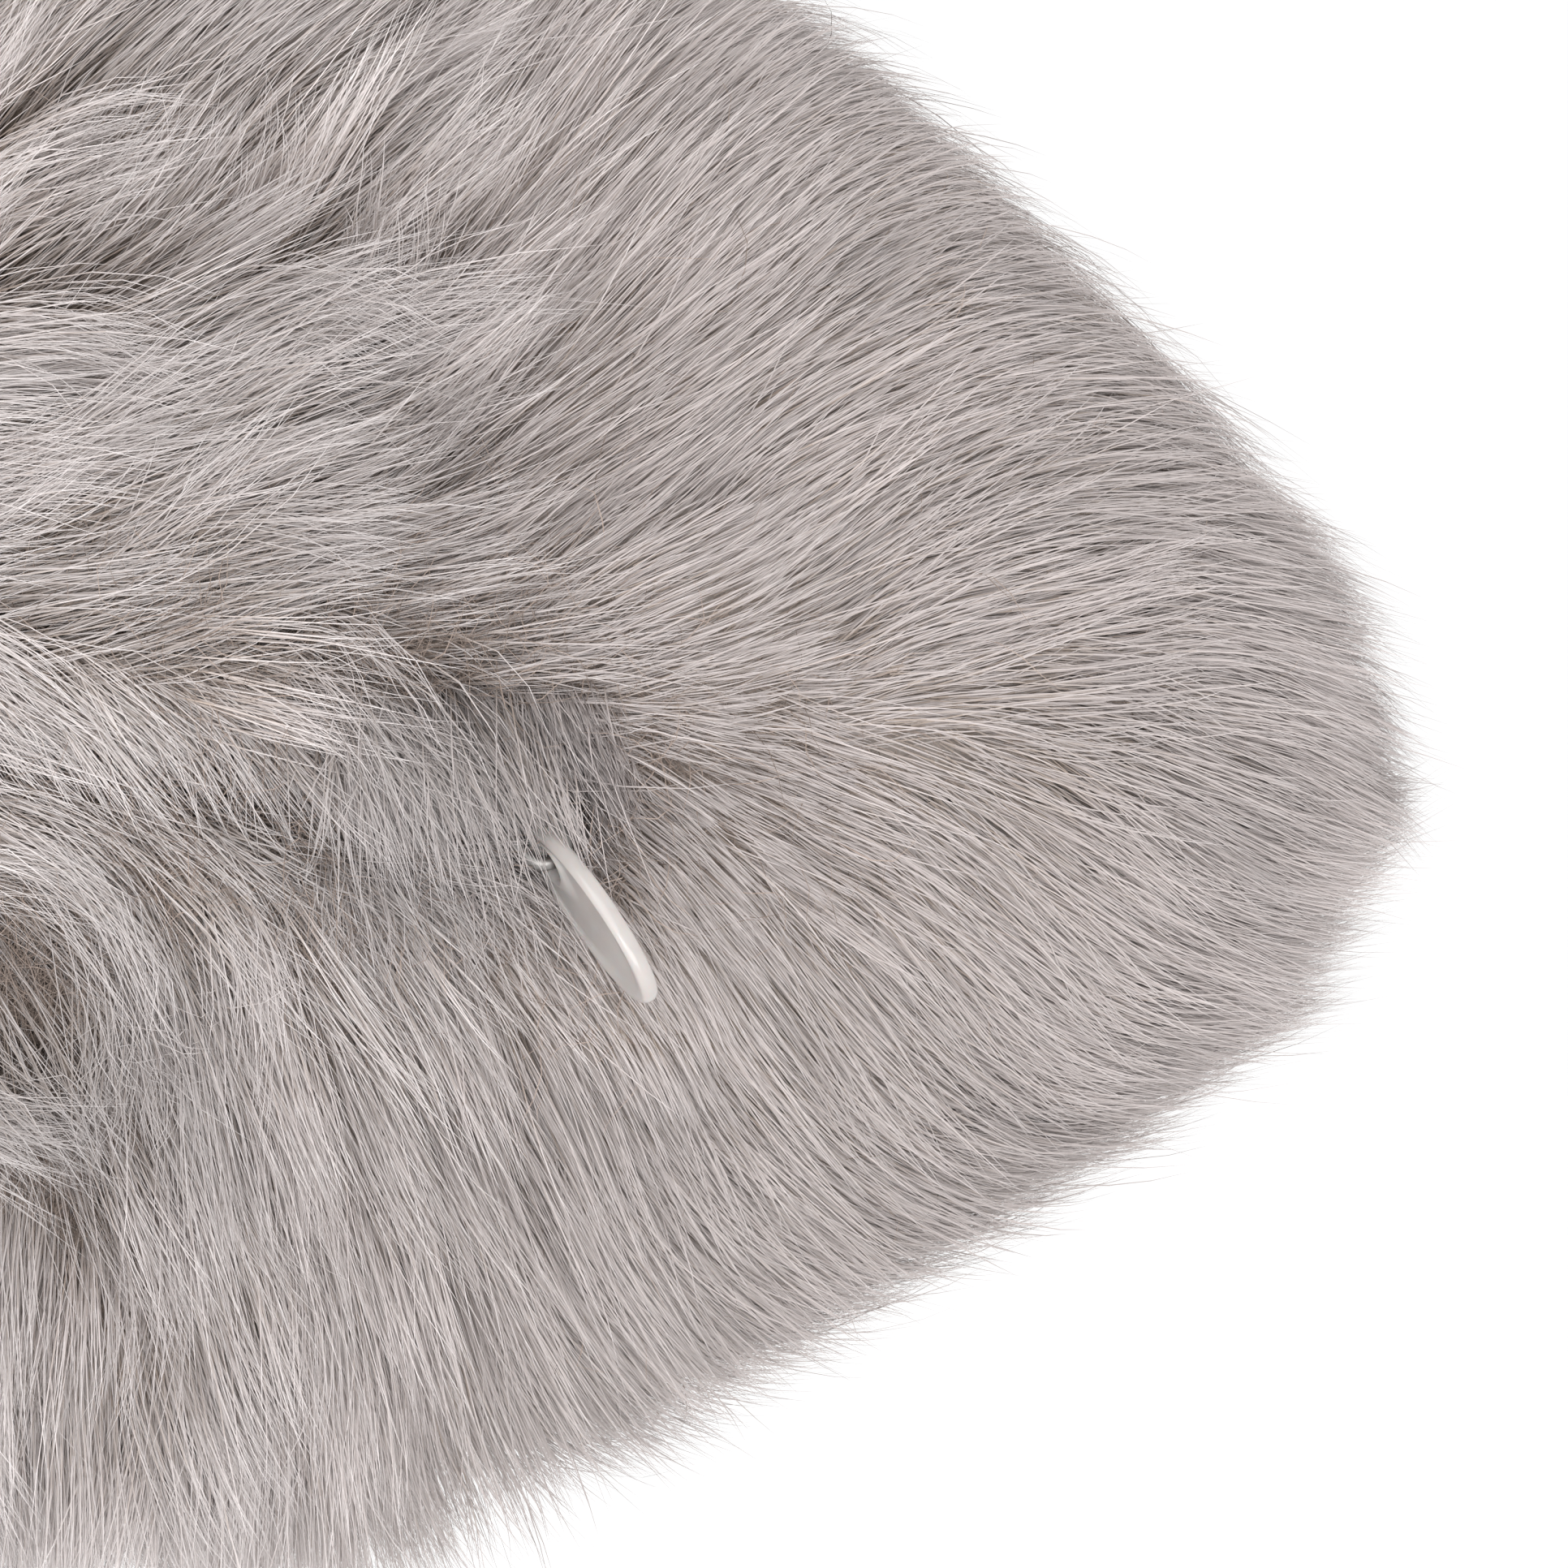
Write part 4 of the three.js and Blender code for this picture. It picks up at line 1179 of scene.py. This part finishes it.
LINK_LENGTH, LINK_WIDTH, LINK_WIRE = 8.0, 3.6, 0.6
LINK_BEHIND_LEG = 1.7


def make_link(material):
    """An oval wire ring through the slider's bridge and the tab's hole."""
    end = LINK_WIDTH / 2
    straight = (LINK_LENGTH - LINK_WIDTH) / 2
    angle = np.linspace(0, 2 * math.pi, 56, endpoint=False)
    along = end * np.cos(angle) + straight * np.tanh(4 * np.cos(angle))
    centre = LEG + TAB_ALONG * (LINK_LENGTH / 2 - LINK_BEHIND_LEG)
    path = centre + along[:, None] * TAB_ALONG + (end * np.sin(angle))[:, None] * TAB_NORMAL
    metal = (material, "slider_metal")
    piece = wires("pull_link_wire", [path], LINK_WIRE, *metal, 12, True, "link")
    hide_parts("pull_link")


def make_tab(material):
    """An oval tab with a rounded edge, a raised rim and dished faces, round one hole."""
    angle = np.linspace(0, 2 * math.pi, TAB_POINTS, endpoint=False)
    hole_x = TAB_ROOT - TAB_LENGTH / 2
    direction = np.stack([np.cos(angle), np.sin(angle)], -1)
    a, b = TAB_LENGTH / 2, TAB_WIDTH / 2
    # Distance from the hole's middle to the oval, along each direction.
    p = (direction[:, 0] / a) ** 2 + (direction[:, 1] / b) ** 2
    q = 2 * hole_x * direction[:, 0] / a**2
    s = (hole_x / a) ** 2 - 1
    far = (-q + np.sqrt(q**2 - 4 * p * s)) / (2 * p)
    half = TAB_THICKNESS / 2
    turn = np.linspace(math.pi / 2, 0, 6)
    rounded = [(TAB_EDGE * (1 - math.sin(t)), half * math.cos(t)) for t in turn]
    start = TAB_HOLE + TAB_EDGE
    rings = [(np.full(TAB_POINTS, TAB_HOLE + inset), height) for inset, height in rounded]
    for share in np.linspace(0, 1, 16)[1:-1]:
        dished = TAB_DISH * (smooth(share, 0.0, 0.16) * smooth(share, 1.0, 0.80))
        rings.append((start + (far - TAB_EDGE - start) * share, half - dished))
    rings += [(far - inset, height) for inset, height in rounded[::-1]]
    lower = [(reach, -height) for reach, height in rings[::-1][1:-1]]
    points = []
    for reach, height in rings + lower:
        flat = direction * reach[:, None] + [hole_x, 0]
        on_axis = TAB_CENTRE + flat[:, :1] * TAB_ALONG
        points.append(on_axis + flat[:, 1:] * TAB_ACROSS + height * TAB_NORMAL)
    faces = grid_faces(len(points), TAB_POINTS, wrap_rows=True, wrap_columns=True)
    points = np.concatenate(points)
    piece = mesh_piece("oval_pull_tab", points, faces, material, "tab")
    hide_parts("pull_tab")


def combed_past_tab(curve, fine=6):
    """Hair that would cross the tab's face goes behind it, except over the tab's root."""
    close = np.flatnonzero(np.linalg.norm(curve - TAB_CENTRE, axis=-1).min(1) < 20)
    near = curve[close]
    steps = curve.shape[1] - 1
    offset = points_along(near, np.arange(fine * steps + 1)[None] / fine) - TAB_CENTRE
    depth = (offset @ TAB_NORMAL) / (VIEW_BACK @ TAB_NORMAL)
    spot = offset - VIEW_BACK * depth[..., None]
    along, across = spot @ TAB_ALONG, spot @ TAB_ACROSS
    span = np.hypot(along / (TAB_LENGTH / 2), across / (TAB_WIDTH / 2))
    over = smooth(span, 1.25, 1.02) * smooth(along + TAB_LENGTH / 2, TAB_BURIED - 1.5, TAB_BURIED)
    sunk = np.maximum(depth + TAB_THICKNESS, 0) * over
    result = curve.copy()
    for k in range(1, steps + 1):
        about = sunk[:, fine * (k - 1) : fine * (k + 1) + 1].max(1)
        result[close, k] = near[:, k] - VIEW_BACK * about[:, None]
    return result


# ---- camera, light and ground ----


def add_camera():
    data = bpy.data.cameras.new("camera")
    camera = in_scene("camera", data)
    back = Vector(VIEW_BACK)
    level_up = Vector((0, math.sin(VIEW_RISE), math.cos(VIEW_RISE)))
    right = Vector((1, 0, 0)) * math.cos(VIEW_ROLL) + level_up * math.sin(VIEW_ROLL)
    up = -Vector((1, 0, 0)) * math.sin(VIEW_ROLL) + level_up * math.cos(VIEW_ROLL)
    centre = Vector((FUR_TIP, 0, 0)) - right * CENTRE_BEHIND_TIP + up * CENTRE_ABOVE
    place = centre + back * VIEW_DISTANCE
    rotation = Matrix((right, up, back)).transposed()
    camera.matrix_world = Matrix.Translation(place * MM) @ rotation.to_4x4()
    data.sensor_width = SENSOR
    data.lens = SENSOR * VIEW_DISTANCE / FRAME_WIDTH
    data.clip_start = 0.05
    data.clip_end = 20
    bpy.context.scene.camera = camera


WORLD_STRENGTH = 1.03
FLOOR_HEIGHT = -0.16  # in metres, clear of the fur


def area_light(name, place, target, size, power):
    data = bpy.data.lights.new(name, "AREA")
    data.size = size
    data.energy = power
    light = in_scene(name, data)
    light.location = place
    aim = Vector(target) - Vector(place)
    light.rotation_euler = aim.to_track_quat("-Z", "Y").to_euler()


def add_studio():
    scene = bpy.context.scene
    scene.view_settings.view_transform = "Standard"
    world = bpy.data.worlds.new("world")
    scene.world = world
    world.use_nodes = True
    background = world.node_tree.nodes["Background"]
    background.inputs["Color"].default_value = (1, 1, 1, 1)
    background.inputs["Strength"].default_value = WORLD_STRENGTH
    area_light("key", (-0.1, -1.25, 0.55), (0.14, 0, 0), 1.0, 7)
    area_light("fill", (0.28, -0.75, -0.13), (0.19, -0.05, -0.03), 0.5, 3.5)
    bpy.ops.mesh.primitive_plane_add(size=12, location=(0, 0, FLOOR_HEIGHT))
    floor = bpy.context.object
    floor.name = "floor"
    floor.data.materials.append(plain("floor_white", (0.97, 0.97, 0.97), 1.0))


# ---- build ----

PILE_PIECES = 8  # for each panel
HAIR_WIDTH = (0.075, 0.135)
UNDER_WIDTH = (0.06, 0.1)
TUFTED_FROM, TUFTED_ALL = 60, 96  # behind the tip


def make_pile():
    """The hair of each panel, as several pieces, and its under-fur."""
    curve, normal, tone = (np.concatenate(p) for p in zip(make_hairs(), make_seam_hairs()))
    curve = trimmed(combed_past_tab(parted_at_whorl(curve)))
    width = rng.uniform(*HAIR_WIDTH, len(curve))
    under_curve, under_normal, under_tone = make_under_hairs()
    under_curve = trimmed(combed_past_tab(under_curve))
    under_width = rng.uniform(*UNDER_WIDTH, len(under_curve))
    hair_look = [fur_tones("even_fur", EVEN_FUR), fur_tones("tufted_fur", TUFTED_FUR)]
    behind = FUR_TIP - curve[:, HAIR_STEPS // 2, 0]
    tufted = rng.random(len(curve)) < smooth(behind, TUFTED_FROM, TUFTED_ALL)
    under_look = [under_tones()]
    hairs = (curve, normal, tone, width, tufted)
    unders = (under_curve, under_normal, under_tone, under_width, np.zeros(len(under_curve)))
    pile = {}
    for half, side in HALVES:
        picked = np.flatnonzero((curve[:, 0, 2] >= 0) == (side > 0))
        pieces = [
            strand_mesh(f"pile_{half}_{i}", *(part[group] for part in hairs), hair_look)
            for i, group in enumerate(np.array_split(picked, PILE_PIECES), 1)
        ]
        group = np.flatnonzero((under_curve[:, 0, 2] >= 0) == (side > 0))
        under = strand_mesh(f"underfur_{half}", *(part[group] for part in unders), under_look)
        pile[half] = pieces + [under]
    return pile


def dress(node, material):
    """A material for a CAD node that stays as it is."""
    mesh = nodes[node].data
    mesh.materials.clear()
    mesh.materials.append(material)


add_camera()
add_studio()
pile = make_pile()
knit_backing = knit("knitted_backing", (0.29, 0.25, 0.225), (0.41, 0.37, 0.345), 0.9)
lining_cloth = knit("lining_tricot", (0.16, 0.148, 0.14), (0.27, 0.25, 0.24), 1.2)
tape_cloth = woven("woven_tape", (0.13, 0.113, 0.10), (0.25, 0.22, 0.20), 0.7)
thread = woven("polyester_thread", (0.30, 0.27, 0.25), (0.46, 0.42, 0.40), 0.3)
foam = open_cell_foam()
plastic_colours = (0.017, 0.017, 0.018), (0.028, 0.028, 0.029)
rubber_colours = (0.012, 0.012, 0.012), (0.022, 0.022, 0.022)
hard_plastic = moulded("black_moulded_plastic", *plastic_colours, 0.42, 0.5)
rubber = moulded("soft_black_rubber", *rubber_colours, 0.72, 0.9)
elastic = knit("braided_elastic", (0.10, 0.095, 0.09), (0.2, 0.19, 0.18), 0.8)
spacer = knit("spacer_mesh", (0.02, 0.02, 0.02), (0.06, 0.058, 0.056), 1.8)
metal = cast_metal()

make_linings(lining_cloth)
make_backings(knit_backing, pile)
make_binding(tape_cloth)
make_zip_cloth(tape_cloth)
make_hem(lining_cloth, elastic, thread)
make_foam(foam)
make_collar(hard_plastic)
make_grip(rubber)
make_coils(monofilament())
make_link(metal)
make_tab(tab_plastic())
for look, kept in (
    (hard_plastic, ("collar_ring_nut",)),
    (spacer, ("bore_sleeve", "bore_end_disc")),
    (metal, ("zip_slider", "zip_top_stop_upper", "zip_top_stop_lower", "zip_bottom_stop")),
):
    for node in kept:
        dress(node, look)
